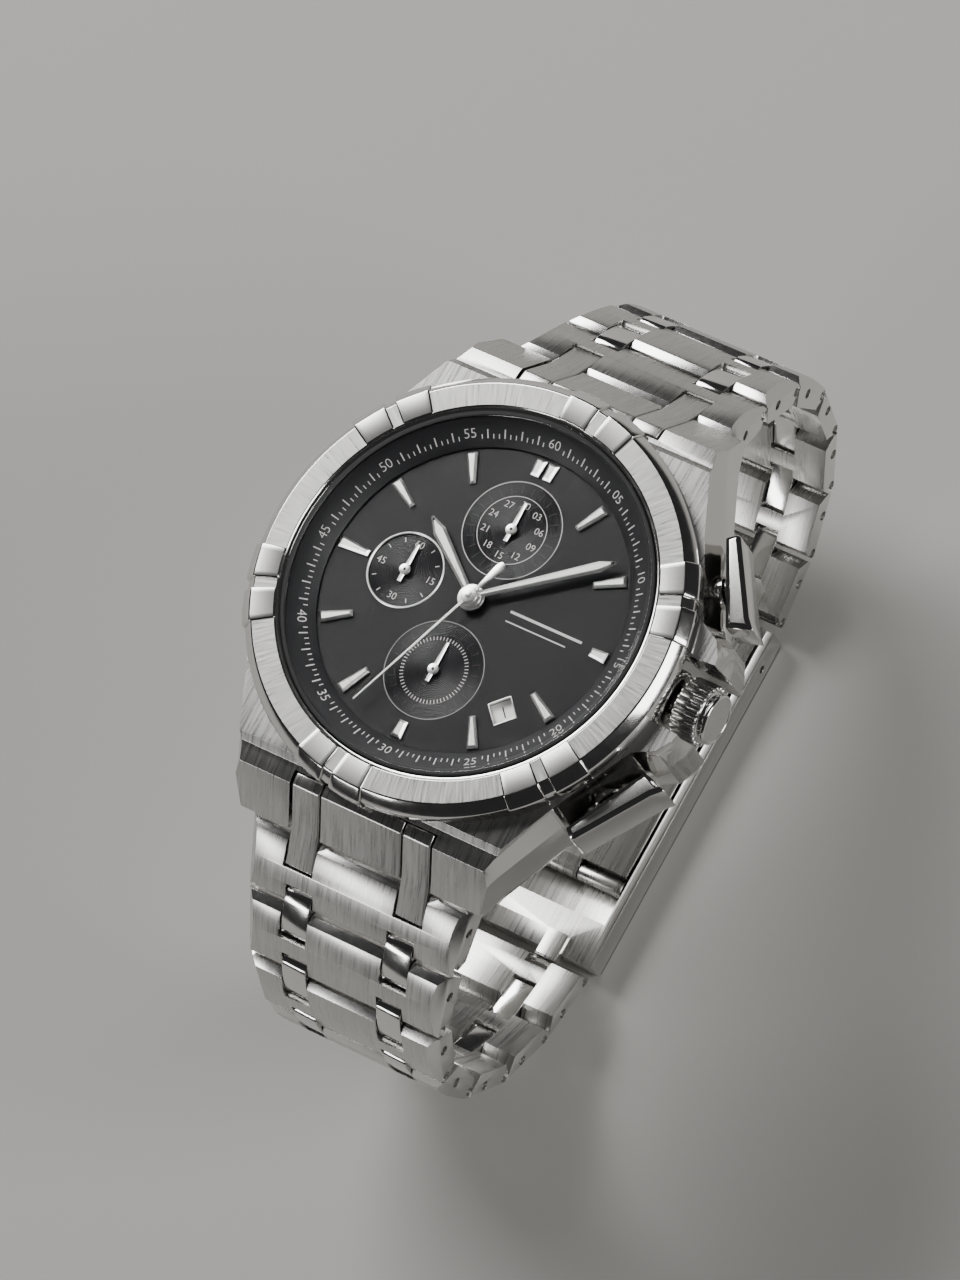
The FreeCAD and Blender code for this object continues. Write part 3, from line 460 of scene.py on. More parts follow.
# Sprayed matt lacquer of the minute ring, with a fine orange peel.
FLANGE_BLACK = grained("matt_black_lacquer", "#121214", 18.0, (0.45, 0.55), 0.0004, IOR=1.4)

# Pad-printed ink: flat, opaque and slightly grey.
PRINT = grained("pad_printed_white", "#b4b3b0", 25.0, (0.5, 0.6), 0.0006)
FINE_PRINT = grained("pad_printed_grey", "#8f8f8d", 25.0, (0.5, 0.6), 0.0006)
DATE_INK = grained("pad_printed_black", "#101010", 25.0, (0.5, 0.6), 0.0006)

# Luminous paint in the hands: matt, chalky and faintly green.
LUME = grained("luminous_paint", "#e6e8df", 9.0, (0.6, 0.75), 0.003)

# White lacquered date disc.
DATE_WHITE = grained("white_lacquer", "#e9e8e3", 10.0, (0.35, 0.45), 0.0008)

# Nitrile rubber of the seals, acetal of the holder.
RUBBER = grained("nitrile_rubber", "#141414", 8.0, (0.6, 0.75), 0.004)
ACETAL = grained("moulded_acetal", "#8c8b86", 5.0, (0.4, 0.5), 0.003)

# Plates of the movement: nickel-plated brass with a drawn grain.
NICKEL = brushed("nickel_plated_brass", "#b9b3a2", own_millimetres, (5.0, 0.3), (0.25, 0.4), 0.004)

# Hard drawn spring wire and turned pins.
WIRE = grained("hard_drawn_wire", "#bdbcb8", 6.0, (0.2, 0.32), 0.001, Metallic=1.0)

# Rolled can of a silver-oxide cell.
CELL = grained("rolled_cell_can", "#c4c3bf", 4.0, (0.22, 0.34), 0.001, Metallic=1.0)


def mineral_glass():
    """Coated flat mineral crystal: clear, with the weak mirror image of the lamps that its coat leaves."""
    material, tree, glass = new_material(
        "mineral_crystal", "#ffffff", Transmission_Weight=1.0, Roughness=0.0, IOR=1.2)
    noise = add(tree, "TexNoise", {0: own_millimetres(tree), 2: 0.25, 3: 1.0}).outputs[0]
    bump = add(tree, "Bump", {"Strength": 0.3, "Distance": 0.0004 * MM, "Height": noise})
    tree.links.new(bump.outputs[0], glass.inputs["Normal"])
    clear = add(tree, "BsdfTransparent")
    is_shadow = add(tree, "LightPath").outputs["Is Shadow Ray"]
    mix = add(tree, "MixShader", {0: is_shadow, 1: glass.outputs[0], 2: clear.outputs[0]})
    tree.links.new(mix.outputs[0], tree.nodes["Material Output"].inputs["Surface"])
    return material


CRYSTAL = mineral_glass()


# ---------------------------------------------------------------- bezel and crystal


def level(normal):
    return normal.z > 0.97


def flat_is(flat, other):
    """A paint that puts the first material on level faces and the second on the rest."""
    return lambda centre, normal: flat if level(normal) else other


def bezel():
    """Ring with a brushed flat, a polished outer chamfer and a polished step down to the crystal."""
    outline = [
        (18.27, 8.42), (21.98, 8.42), (21.98, 9.86), (21.92, 9.96), (21.14, 10.9), (21.04, 10.97),
        (20.96, BEZEL_FLAT), (20.93, BEZEL_FLAT),
        (18.81, BEZEL_FLAT), (18.78, BEZEL_FLAT), (18.7, 10.96), (18.62, 10.84), (18.42, 10.84),
        (18.32, 10.78), (18.27, 10.68)]
    ring = smooth(lathe("bezel_ring", outline, 288), 35)
    finished(ring, "case", "brushed_steel", BEZEL_STEEL, POLISHED,
             paint=lambda centre, normal: 0 if level(normal) and centre.xy.length > 18.79 else 1,
             replaces=["bezel"])


CLAW_GAP_ANGLES = (-6.1, 6.1)
CLAW_WIDTH = 9.4


def claws():
    """Six pairs of claws that stand over the bezel's flat and wrap down over its edge."""
    outline = [(18.68, 10.5), (18.68, 11.14), (21.2, 11.14), (22.28, 10.0), (22.28, 8.44), (21.0, 8.44)]
    claw = sector("claw", outline, CLAW_WIDTH)
    rounded(claw, 0.16, 3)
    pairs = []
    for pair in range(6):
        for offset in CLAW_GAP_ANGLES:
            pairs.append(copied(claw, turned_by(pair * 60 + offset - 90)))
    bpy.data.objects.remove(claw)
    rail = sector("claw_bridge", [(18.72, 10.5), (18.72, 11.06), (21.1, 11.06), (22.12, 9.98),
                                  (22.12, 8.46), (21.0, 8.46)], 4.0, 3)
    rounded(rail, 0.06, 2)
    bridges = around(rail, 6, "claw_bridges", start=-90)
    finished(joined("bezel_claws", pairs + [bridges]), "case", "brushed_steel", SATIN, POLISHED,
             paint=flat_is(0, 1))


def crystal():
    outline = [(0, 10.17), (17.7, 10.17), (17.84, 10.3), (17.84, 10.94), (17.6, 11.18), (0, 11.18)]
    glass = smooth(lathe("crystal_glass", outline, 192), 35)
    finished(glass, "case", "crystal", CRYSTAL, replaces=["crystal"])
    seat = lathe("crystal_gasket", [(17.87, 10.2), (18.22, 10.2), (18.22, 10.86), (18.12, 10.92),
                                    (17.87, 10.92)], 192)
    back = lathe("back_gasket", [(16.75, 1.82), (17.45, 1.82), (17.45, 1.98), (16.75, 1.98)], 96)
    finished(smooth(joined("gaskets", [seat, back])), "case", "gasket_rubber", RUBBER,
             replaces=["sealing_gaskets"])


# ---------------------------------------------------------------- print


def text(name, words, size, depth=0.03):
    """Numerals as a thin solid, centred on the origin with their top towards +Y."""
    deselect_all()
    bpy.ops.object.text_add()
    piece = bpy.context.active_object
    piece.data.body = words
    piece.data.size = size * MM
    piece.data.extrude = depth / 2 * MM
    piece.data.align_x = "CENTER"
    piece.data.align_y = "CENTER"
    piece.data.resolution_u = 4
    piece.data.offset = -0.012 * size * MM
    bpy.ops.object.convert(target="MESH")
    return set_down(named(bpy.context.active_object, name))


def mark(width, length, thickness=0.03):
    """A printed bar, centred on the origin with its length along Y."""
    return block("mark", (-width / 2, -length / 2, 0), (width / 2, length / 2, thickness))


RING_INNER, RING_OUTER = 15.35, 17.75
RING_LOW, RING_HIGH = 8.86, 10.12
RING_SLOPE = math.degrees(math.atan2(RING_HIGH - RING_LOW, RING_OUTER - RING_INNER))


def on_ring(clock, radius, upright=True):
    """Places a piece drawn flat at the origin onto the slope of the minute ring."""
    height = RING_LOW + (radius - RING_INNER) * math.tan(math.radians(RING_SLOPE))
    tilt = Matrix.Rotation(math.radians(RING_SLOPE), 4, "X")
    spin = Matrix.Rotation(0 if upright else math.pi, 4, "Z")
    return turned_by(clock) @ shifted(0, radius, height) @ tilt @ spin


def minute_ring():
    """Sloped ring with a minute track: a long stroke for each minute and two short ones between."""
    outline = [(15.3, 8.62), (18.1, 8.62), (18.1, 10.14), (17.8, 10.14), (RING_OUTER, RING_HIGH),
               (RING_INNER, RING_LOW), (15.3, 8.8)]
    ring = smooth(lathe("minute_ring", outline, 192), 35)
    finished(ring, "case", "flange_black", FLANGE_BLACK, replaces=["flange_ring"])
    strokes = []
    for third in range(180):
        minute, part = divmod(third, 3)
        near_numeral = minute % 5 == 0 and part == 0
        if near_numeral or third % 15 in (1, 14):
            continue
        long = part == 0
        stroke = mark(0.11 if long else 0.085, 0.85 if long else 0.42)
        strokes.append(moved(stroke, on_ring(third * 2, 16.42 if long else 16.2)))
    numerals = []
    for minute in range(5, 65, 5):
        clock = minute * 6
        upright = not 95 < clock < 265
        numeral = text("numeral", f"{minute:02d}", 1.32)
        numerals.append(moved(numeral, on_ring(clock, 16.5, upright)))
    finished(joined("minute_track", strokes + numerals), "case", "flange_black", PRINT)


# ---------------------------------------------------------------- dial


def grooved(inner, outer, height, pitch=0.17, depth=0.022):
    """Outline points of fine concentric grooves between two radii, from the outside in."""
    count = round((outer - inner) / pitch)
    step = (outer - inner) / count
    points = []
    for i in range(count):
        points += [(outer - i * step, height), (outer - (i + 0.5) * step, height - depth)]
    return points + [(inner, height)]


def ring_line(radius, width, height, thickness=0.03, steps=128):
    """A fine printed circle."""
    return lathe("fine_circle", [
        (radius - width / 2, height), (radius + width / 2, height),
        (radius + width / 2, height + thickness), (radius - width / 2, height + thickness)], steps)


def at_counter(x, y):
    return shifted(x, y, 0)


def on_dial(clock, radius, height, upright=True, about=(0, 0)):
    """Places a piece drawn flat at the origin on the dial at a clock angle about a centre."""
    spin = Matrix.Identity(4) if upright else Matrix.Rotation(math.radians(clock), 4, "Z")
    place = shifted(about[0], about[1], 0)
    return place @ turned_by(clock) @ shifted(0, radius, height) @ spin


FLOOR = DIAL_TOP - RECESS
COUNTER_BAND = (3.42, 4.86)


def counter_plate(name, x, y, radius, inner):
    """Turned insert of a sub-dial. Its outer band stands a little over the disc inside it."""
    low = FLOOR + 0.004
    rim = grooved(inner + 0.05, radius - 0.06, low + 0.06) if inner else []
    disc = grooved(0.45, (inner or radius) - 0.05, low + 0.03)
    outline = [(0.36, low), (radius - 0.02, low)] + rim + disc + [(0.36, low + 0.03)]
    insert = moved(smooth(lathe(name, outline, 144), 12), at_counter(x, y))
    return finished(insert, "case", "dial_black", COUNTER_BLACK)


def counter_at_twelve():
    """Thirty-minute counter: ten two-digit numerals inside a grooved band with dark strokes."""
    y, high = COUNTER_OFFSET, FLOOR + 0.07
    counter_plate("counter_plate_12", 0, y, 4.98, COUNTER_BAND[0])
    light = [moved(ring_line(COUNTER_BAND[0], 0.06, high), at_counter(0, y)),
             moved(ring_line(4.9, 0.07, high), at_counter(0, y))]
    for number in range(3, 33, 3):
        numeral = text("numeral", f"{number:02d}", 0.98)
        light.append(moved(numeral, on_dial(number * 12, 2.66, FLOOR + 0.04, False, (0, y))))
    finished(joined("counter_print_12", light), "case", "dial_black", PRINT)
    dark = [moved(mark(0.09, 0.8), on_dial(i * 15, 4.1, high, about=(0, y))) for i in range(24)]
    finished(joined("counter_strokes_12", dark), "case", "dial_black", DATE_INK)


def counter_at_six():
    """Twelve-hour counter: a ring of fine strokes inside a grooved band."""
    y, high = -COUNTER_OFFSET, FLOOR + 0.07
    counter_plate("counter_plate_6", 0, y, 4.98, COUNTER_BAND[0])
    strokes = [moved(mark(0.075, 0.36), on_dial(i * 6, 3.18, FLOOR + 0.04, about=(0, y))) for i in range(60)]
    finished(joined("counter_print_6", strokes), "case", "dial_black", PRINT)
    outer = moved(ring_line(4.9, 0.06, high), at_counter(0, y))
    finished(outer, "case", "dial_black", FINE_PRINT)
    dark = [moved(mark(0.07, 0.7), on_dial(i * 15, 4.1, high, about=(0, y))) for i in range(24)]
    finished(joined("counter_strokes_6", dark), "case", "dial_black", DATE_INK)


def counter_at_nine():
    """Small seconds in a polished rim, with strokes and quarter numerals."""
    x = -COUNTER_OFFSET
    counter_plate("counter_plate_9", x, 0, 3.66, 0)
    rim = smooth(lathe("seconds_rim", [
        (3.66, DIAL_TOP - 0.1), (3.86, DIAL_TOP - 0.1), (3.86, DIAL_TOP + 0.03), (3.8, DIAL_TOP + 0.08),
        (3.72, DIAL_TOP + 0.08), (3.66, DIAL_TOP + 0.02)], 128))
    finished(moved(rim, at_counter(x, 0)), "case", "marker_steel", RHODIUM)
    print_height = FLOOR + 0.04
    parts = []
    for i in range(12):
        if i % 3:
            parts.append(moved(mark(0.09, 0.42), on_dial(i * 30, 3.1, print_height, about=(x, 0))))
    for number in (15, 30, 45, 60):
        numeral = text("numeral", str(number), 1.0)
        parts.append(moved(numeral, on_dial(number * 6, 2.75, print_height, False, (x, 0))))
    finished(joined("counter_print_9", parts), "case", "dial_black", PRINT)


def dial_rules():
    """Two plain printed rules by 3 o'clock."""
    long = block("rule", (4.0, 0.32, DIAL_TOP), (11.9, 0.56, DIAL_TOP + 0.02))
    short = block("rule", (4.0, -0.62, DIAL_TOP), (10.6, -0.5, DIAL_TOP + 0.02))
    finished(joined("dial_rules", [long, short]), "case", "dial_black", PRINT)


def facets(piece, drop, inset):
    """Chamfers the top of a flat piece all round, as a diamond cutter does."""
    select_faces(piece, lambda centre, normal: normal.z > 0.9)
    bpy.ops.mesh.inset(thickness=inset * MM, depth=drop * MM, use_even_offset=True)
    return stop_editing()


def hour_markers():
    def baton(length):
        root, width = 0.62, 1.08
        root = width - (width - root) * length / 3.2
        outline = [(-root / 2, 0), (root / 2, 0), (width / 2, length), (-width / 2, length)]
        return facets(plate("baton", outline, 0, 0.22), 0.2, 0.22)

    long, short = baton(3.2), baton(1.7)
    placed = []
    for hour in range(1, 12):
        source, length = (short, 1.7) if hour in (3, 6) else (long, 3.2)
        placed.append(copied(source, turned_by(hour * 30) @ shifted(0, 14.9 - length, DIAL_TOP)))
    for side in (-0.66, 0.66):
        placed.append(copied(short, shifted(side, 14.9 - 1.7, DIAL_TOP)))
    bpy.data.objects.remove(long)
    bpy.data.objects.remove(short)
    finished(joined("applied_markers", placed), "case", "marker_steel", RHODIUM,
             replaces=["hour_markers"])


DATE_CLOCK = 136.0
DATE_RADIUS = 11.8


def date():
    """White disc with its numbers, seen through a bevelled square frame."""
    window = 2.1
    frame_outer = window + 0.24
    place = turned_by(DATE_CLOCK) @ shifted(0, DATE_RADIUS, 0)
    surround = block("date_frame", (-frame_outer / 2, -frame_outer / 2, DIAL_TOP - 0.3),
                     (frame_outer / 2, frame_outer / 2, DIAL_TOP + 0.05))
    hole = block("hole", (-window / 2, -window / 2, DIAL_TOP - 1), (window / 2, window / 2, DIAL_TOP + 1))
    cut(surround, hole)
    rounded(surround, 0.05, 2)
    finished(moved(surround, place), "case", "marker_steel", RHODIUM)
    disc_top = top_of("date_disc")
    disc = smooth(lathe("date_wheel", [(10.32, disc_top - 0.18), (13.28, disc_top - 0.18),
                                       (13.28, disc_top), (10.32, disc_top)], 186))
    finished(disc, "date_disc", "date_white", DATE_WHITE, replaces=["date_disc"])
    numbers = []
    for day in range(1, 32):
        numeral = text("numeral", str(day), 1.75, 0.02)
        inward = Matrix.Rotation(math.pi, 4, "Z")
        clock = DATE_CLOCK - (day - 1) * FULL_TURN / 31
        numbers.append(moved(numeral, turned_by(clock) @ shifted(0, DATE_RADIUS, disc_top) @ inward))
    finished(joined("date_numbers", numbers), "date_disc", "date_white", DATE_INK)


# ---------------------------------------------------------------- hands


HAND_ANGLES = {"hour_hand": 306.6, "minute_hand": 53.2, "chrono_seconds_hand": 201.2}


def hub(radius, low, high, steps=64):
    """A round boss with a rounded shoulder."""
    return smooth(lathe("hub", [(0, low), (radius, low), (radius, high - 0.08), (radius - 0.03, high - 0.03),
                                (radius - 0.1, high), (0, high)], steps))


def lume_hand(name, root, widest, length, low, hub_radius, lume):
    """Bevelled baton with a pointed tip, a round hub and a strip of luminous paint in its outer part."""
    shoulder = length - 1.7
    outline = [(-root, 0.6), (root, 0.6), (widest, shoulder), (0.09, length), (-0.09, length),
               (-widest, shoulder)]
    blade = facets(plate(name, outline, low, low + 0.08), 0.14, 0.26)
    body = joined(name, [blade, hub(hub_radius, low, low + 0.22)])
    turn = turned_by(HAND_ANGLES[name])
    finished(moved(body, turn), name, "marker_steel", RHODIUM, replaces=[name])
    start, end, half_start, half_end = lume
    strip = plate("lume", [(-half_start, start), (half_start, start), (half_end, end),
                           (0.04, length - 0.55), (-0.04, length - 0.55), (-half_end, end)],
                  low + 0.12, low + 0.245)
    finished(moved(rounded(strip, 0.03, 2), turn), name, "marker_steel", LUME)
    strip.name = name + "_lume"


def seconds_hand():
    """Thin needle, tapered to its tip, with a rounded paddle for a counterweight."""
    name, low = "chrono_seconds_hand", 9.72
    needle = plate(name, [(-0.17, -3.4), (0.17, -3.4), (0.13, 0), (0.06, 14.45), (-0.06, 14.45),
                          (-0.13, 0)], low, low + 0.14)
    paddle = plate("paddle", [(-0.17, -1.2), (-0.46, -3.7), (-0.4, -4.2), (-0.22, -4.42), (0.22, -4.42),
                              (0.4, -4.2), (0.46, -3.7), (0.17, -1.2)], low + 0.004, low + 0.15)
    rounded(paddle, 0.05, 2)
    cap = hub(0.78, low, low + 0.3)
    pin = moved(hub(0.34, low, low + 0.42), Matrix.Identity(4))
    body = joined(name, [needle, paddle, cap, pin])
    finished(moved(smooth(body), turned_by(HAND_ANGLES[name])), name, "marker_steel", RHODIUM,
             replaces=[name])


def small_hand(name, x, y, length):
    """Short baton of a counter with a round hub and a dark pin."""
    low = 8.75
    blade = facets(plate(name, [(-0.2, -1.25), (0.2, -1.25), (0.24, 0), (0.15, length), (-0.15, length),
                                (-0.24, 0)], low, low + 0.06), 0.1, 0.1)
    body = joined(name, [blade, hub(0.56, low, low + 0.2)])
    finished(moved(body, shifted(x, y, 0)), name, "marker_steel", RHODIUM, replaces=[name])
    pin = hub(0.17, low + 0.19, low + 0.24, 32)
    pin = named(moved(pin, shifted(x, y, 0)), name + "_pin")
    finished(pin, name, "marker_steel", DATE_INK)


def hands():
    lume_hand("hour_hand", 0.36, 0.64, 9.5, 9.12, 1.32, (3.4, 7.7, 0.16, 0.34))
    lume_hand("minute_hand", 0.32, 0.54, 14.35, 9.42, 1.08, (4.0, 12.5, 0.14, 0.26))
    seconds_hand()
    small_hand("minute_counter_hand", 0, COUNTER_OFFSET, 2.9)
    small_hand("hour_counter_hand", 0, -COUNTER_OFFSET, 2.9)
    small_hand("small_seconds_hand", -COUNTER_OFFSET, 0, 2.7)


# ---------------------------------------------------------------- case


def lay_map(piece):
    """Writes mm across and along a piece into its brushing map, so that lines run along it on any slope."""
    brushing = piece.data.uv_layers.get("brushing") or piece.data.uv_layers.new(name="brushing")
    vertices = piece.data.vertices
    for loop in piece.data.loops:
        x, y, z = vertices[loop.vertex_index].co / MM
        brushing.data[loop.index].uv = (x, abs(y) - z)
    return piece


def case():
    body = lay_map(smooth(refined_copy("case_middle", "case_body", 0.14, 3), 15))
    finished(body, "case", "brushed_steel", LINK_STEEL, POLISHED, replaces=["case_middle"],
             paint=lambda centre, normal: 0 if normal.z > 0.5 or (centre.x > 24.2 and normal.z > -0.2) else 1)
    back = refined_copy("case_back", "case_back_plate", 0.06)
    finished(back, "case", "brushed_steel", CASE_STEEL, replaces=["case_back"])


CROWN_RIBS = 24
CROWN_BORE = 1.5
CROWN_BORE_DEPTH = 2.3


def crown():
    """Ribbed crown with a polished collar and a plain satin end disc, bored for the tube it slides over."""
    core = lathe("crown_core", [
        (0, CROWN_BORE_DEPTH), (CROWN_BORE, CROWN_BORE_DEPTH), (CROWN_BORE, 0.02), (2.5, 0.02),
        (2.7, 0.22), (2.7, 2.62), (2.6, 2.82), (2.32, 2.92), (2.28, 3.08),
        (2.42, 3.2), (2.5, 3.3), (2.5, 3.46), (2.42, 3.62), (2.3, 3.68), (2.2, 3.66), (2.16, 3.6),
        (0, 3.6)], 96)
    bar = block("crown_rib", (2.45, -0.27, 0.16), (3.04, 0.27, 2.84))
    ribs = around(rounded(bar, 0.22, 3), CROWN_RIBS, "crown_ribs")
    knob = smooth(joined("crown_knob", [core, ribs]), 50)
    painted(knob, POLISHED, SATIN, BEVEL_STEEL, paint=lambda centre, normal: (
        1 if normal.z > 0.9 and centre.xy.length < 2.17 else 2 if centre.xy.length > 2.5 else 0))
    moved(knob, shifted(21.95, 0, 4.0) @ Matrix.Rotation(math.radians(90), 4, "Y"))
    finished(knob, "crown", "polished_steel", replaces=["crown"])


PUSHER_ANGLE = 29.0


def pusher(name, side):
    """Push-piece with a satin top inside a broad polished chamfer. Y points along its stem."""
    across = [(-4.3, 23.78), (-4.83, 26.42), (-3.5, 26.08), (4.6, 25.28), (4.93, 24.93), (4.68, 23.78)]
    cap = plate(name + "_cap", [(-side * x, y) for x, y in across], 2.52, 6.58)
    select_faces(cap, lambda centre, normal: normal.z > 0.9)
    bpy.ops.mesh.inset(thickness=0.42 * MM, depth=0.3 * MM, use_even_offset=True)
    bpy.ops.object.mode_set(mode="OBJECT")
    along = Matrix.Rotation(math.radians(-90), 4, "X")
    room_for_tube = moved(lathe("room", [(0, 23.0), (1.74, 23.0), (1.74, 24.6), (0, 24.6)], 64),
                          shifted(0, 0, 4.6) @ along)
    rounded(cut(cap, room_for_tube), 0.09, 2)
    stem = moved(lathe("stem", [(0, 17.22), (0.88, 17.22), (0.88, 24.7), (0, 24.7)], 48),
                 shifted(0, 0, 4.6) @ along)
    piece = smooth(joined(name + "_push_piece", [cap, stem]), 35)
    painted(piece, POLISHED, SATIN, paint=lambda centre, normal: 1 if normal.z > 0.985 else 0)
    moved(piece, Matrix.Rotation(math.radians(side * PUSHER_ANGLE - 90), 4, "Z"))
    finished(piece, name, "brushed_steel", replaces=[name])


# ---------------------------------------------------------------- bracelet

ROW_SLOPES = (39.5, 49, 70, 95, 120, 143, 163)
LINK_PITCH = 7.4
SETBACK = 0.7
UPPER_PIN = 2.6
PIN_RADIUS = 0.5
ROOT = Vector((0, 25.15, 1.34))


def half_width(row):
    """Half the bracelet's width at the boundary after so many rows."""
    return 9.0 + 3.45 * 0.72 ** row


def notch(row, clearance):
    half = half_width(row)
    return 0.375 * half - clearance, 0.625 * half + clearance


def along_row(slope):
    return Vector((0, math.cos(math.radians(slope)), -math.sin(math.radians(slope))))


def row_places():
    """For each row, where a link drawn with Y along the row and Z outward stands on the 12 o'clock side."""
    start, places = ROOT, []
    for slope, following in zip(ROW_SLOPES, ROW_SLOPES[1:] + ROW_SLOPES[-1:]):
        places.append(shifted(*start) @ Matrix.Rotation(math.radians(-slope), 4, "X"))
        start = start + along_row(slope) * (LINK_PITCH - SETBACK) + along_row(following) * SETBACK
    return places


HALF_TURN = Matrix.Rotation(math.pi, 4, "Z")


def mirrored(points):
    return points + [(-x, y) for x, y in reversed(points)]


def pin(name, place, half):
    bar = lathe(name, [(0, -half), (PIN_RADIUS - 0.06, -half), (PIN_RADIUS, 0.06 - half),
                       (PIN_RADIUS, half - 0.06), (PIN_RADIUS - 0.06, half), (0, half)], 24)
    return moved(bar, shifted(0, place, 0) @ Matrix.Rotation(math.radians(90), 4, "Y"))


def bracelet_link(row):
    """One link: notched at both edges, arched over its length, with bevelled sides and upper edge."""
    near, far = half_width(row), half_width(row + 1)
    top_in, top_out = notch(row, 0.12)
    low_in, low_out = notch(row + 1, 0.12)
    low_notch = LINK_PITCH - SETBACK - 1.35
    edge = lambda y: near + (far - near) * y / LINK_PITCH
    plan = mirrored([
        (top_in, 0), (top_in, 3.6), (top_out, 3.6), (top_out, 0), (edge(0), 0), (edge(7.4), 7.4),
        (low_out, 7.4), (low_out, low_notch), (low_in, low_notch), (low_in, 7.4)])
    piece = plate(f"link_{row + 1}", plan, -2, 2)
    arch = [(2.6 + 4.45 * i / 8, 1.48 - 0.74 * (i / 8) ** 2) for i in range(9)]
    side = arch + [(7.25, 0.5), (7.25, 0.05), (6.3, -1.48), (1.1, -1.48), (0.17, 0.0), (0.17, 0.78),
                   (0.86, 1.36), (1.4, 1.44), (2.0, 1.475)]
    bar = prism("side", [(-14, y, z) for y, z in side], (28, 0, 0))
    finish_with(piece, "BOOLEAN", operation="INTERSECT", object=bar, solver="EXACT")
    bpy.data.objects.remove(bar)
    for sign in (1, -1):
        wedge = [(edge(-1) + 0.06, -1, 0.42), (edge(-1) - 1.7, -1, 2.18), (edge(-1) + 2, -1, 2.18)]
        cut(piece, prism("wedge", [(sign * x, y, z) for x, y, z in wedge],
                         (sign * (edge(8.4) - edge(-1)), 9.4, 0)))
    for place in (UPPER_PIN, LINK_PITCH - SETBACK):
        cut(piece, moved(lathe("hole", [(0, -15), (PIN_RADIUS, -15), (PIN_RADIUS, 15), (0, 15)], 32),
                         shifted(0, place, 0) @ Matrix.Rotation(math.radians(90), 4, "Y")))
    rounded(piece, 0.11, 3)
    lay_map(piece)
    return painted(piece, LINK_STEEL, BEVEL_STEEL, paint=lambda centre, normal: (
        1 if abs(normal.x) > 0.35 or (normal.y < -0.45 and centre.z > 0) or normal.y > 0.9 else 0))


def connector_pair(row):
    """Two crowned polished connectors and the row's two pins."""
    inner, outer = notch(row, 0)
    knuckle = [(-SETBACK + 1.13 * math.sin(math.radians(a)), 1.13 * math.cos(math.radians(a)))
               for a in range(-20, -200, -20)]
    side = [(-0.3, 1.17), *knuckle, (3.3, -1.08), (3.38, -1.0), (3.38, 0.62), (3.3, 0.86), (3.05, 1.08),
            (2.6, 1.2), (1.9, 1.28), (1.2, 1.3), (0.4, 1.25)]
    block_side = prism(f"connector_{row + 1}", [(inner, y, z) for y, z in side], (outer - inner, 0, 0))
    rounded(block_side, 0.14, 3)
    twin = copied(block_side, Matrix.Translation((-(inner + outer) * MM, 0, 0)))
    slim = half_width(row + 1) - 0.35
    pins = [pin("upper_pin", UPPER_PIN, slim + 0.15), pin("lower_pin", LINK_PITCH - SETBACK, slim)]
    return painted(smooth(joined(f"connectors_{row + 1}", [block_side, twin] + pins), 35), POLISHED)


def bracelet_rows():
    for row, place in enumerate(row_places()):
        link = bracelet_link(row)
        if row:
            pair, node = connector_pair(row), "connectors"
        else:
            slim = half_width(1) - 0.35
            pins = [pin("upper_pin", UPPER_PIN, slim + 0.15), pin("lower_pin", LINK_PITCH - SETBACK, slim)]
            pair, node = painted(smooth(joined("pins_1", pins), 35), POLISHED), "pins"
        for side, turn in ((12, Matrix.Identity(4)), (6, HALF_TURN)):
            body = f"row_{side}_{row + 1}"
            finished(copied(link, turn @ place, f"bracelet_link_{side}_{row + 1}"), body, "brushed_steel",
                     replaces=[f"link_{side}_{row + 1}"])
            finished(copied(pair, turn @ place, f"bracelet_{node}_{side}_{row + 1}"), body,
                     "polished_steel", replaces=[f"{node}_{side}_{row + 1}"])
        bpy.data.objects.remove(link)
        bpy.data.objects.remove(pair)


def end_links():
    """Centre block and two prongs between the lugs, parted by thin grooves."""
    slope = along_row(ROW_SLOPES[0])
    outward = Vector((0, -slope.z, slope.y))
    pivot = ROOT + slope * UPPER_PIN
    tip = pivot + slope * 0.84
    crest = [Vector((0, 21.52, 7.53)), Vector((0, 22.7, 7.23)), Vector((0, 25.43, 3.18))]
    root = [ROOT - outward * 1.1, Vector((0, 21.52, 1.02))]
    reach = crest + [tip + outward * 1.24, tip - outward * 1.24] + root
    stop = ROOT - slope * 0.36
    lean = (stop - crest[2]).dot(slope) / (tip + outward * 1.24 - crest[2]).dot(slope)
    short = crest + [crest[2] + (tip + outward * 1.24 - crest[2]) * lean, stop - outward * 1.1] + root[1:]
    inner, outer = notch(0, 0)
    centre = rounded(prism("centre", [(-inner + 0.16, p.y, p.z) for p in short],
                           (2 * inner - 0.32, 0, 0)), 0.12, 3)
    prong = rounded(prism("prong", [(inner + 0.02, p.y, p.z) for p in reach],
                          (outer - inner - 0.04, 0, 0)), 0.16, 3)
    twin = copied(prong, Matrix.Translation((-(inner + outer) * MM, 0, 0)))
    web = block("web", (-inner - 0.5, 21.6, 1.3), (inner + 0.5, 22.4, 6.8))
    piece = joined("end_link", [centre, prong, twin, web])
    holes = ((pivot, PIN_RADIUS + 0.04), (Vector((0, 23.5, 3.4)), 0.76))
    for place, radius in holes:
        cut(piece, moved(lathe("hole", [(0, -15), (radius, -15), (radius, 15), (0, 15)], 32),
                         shifted(*place) @ Matrix.Rotation(math.radians(90), 4, "Y")))
    painted(lay_map(smooth(piece, 40)), LINK_STEEL)
    for side, turn in ((12, Matrix.Identity(4)), (6, HALF_TURN)):
        finished(copied(piece, turn, f"bracelet_end_link_{side}"), "case", "brushed_steel",
                 replaces=[f"end_link_{side}"])
    bpy.data.objects.remove(piece)


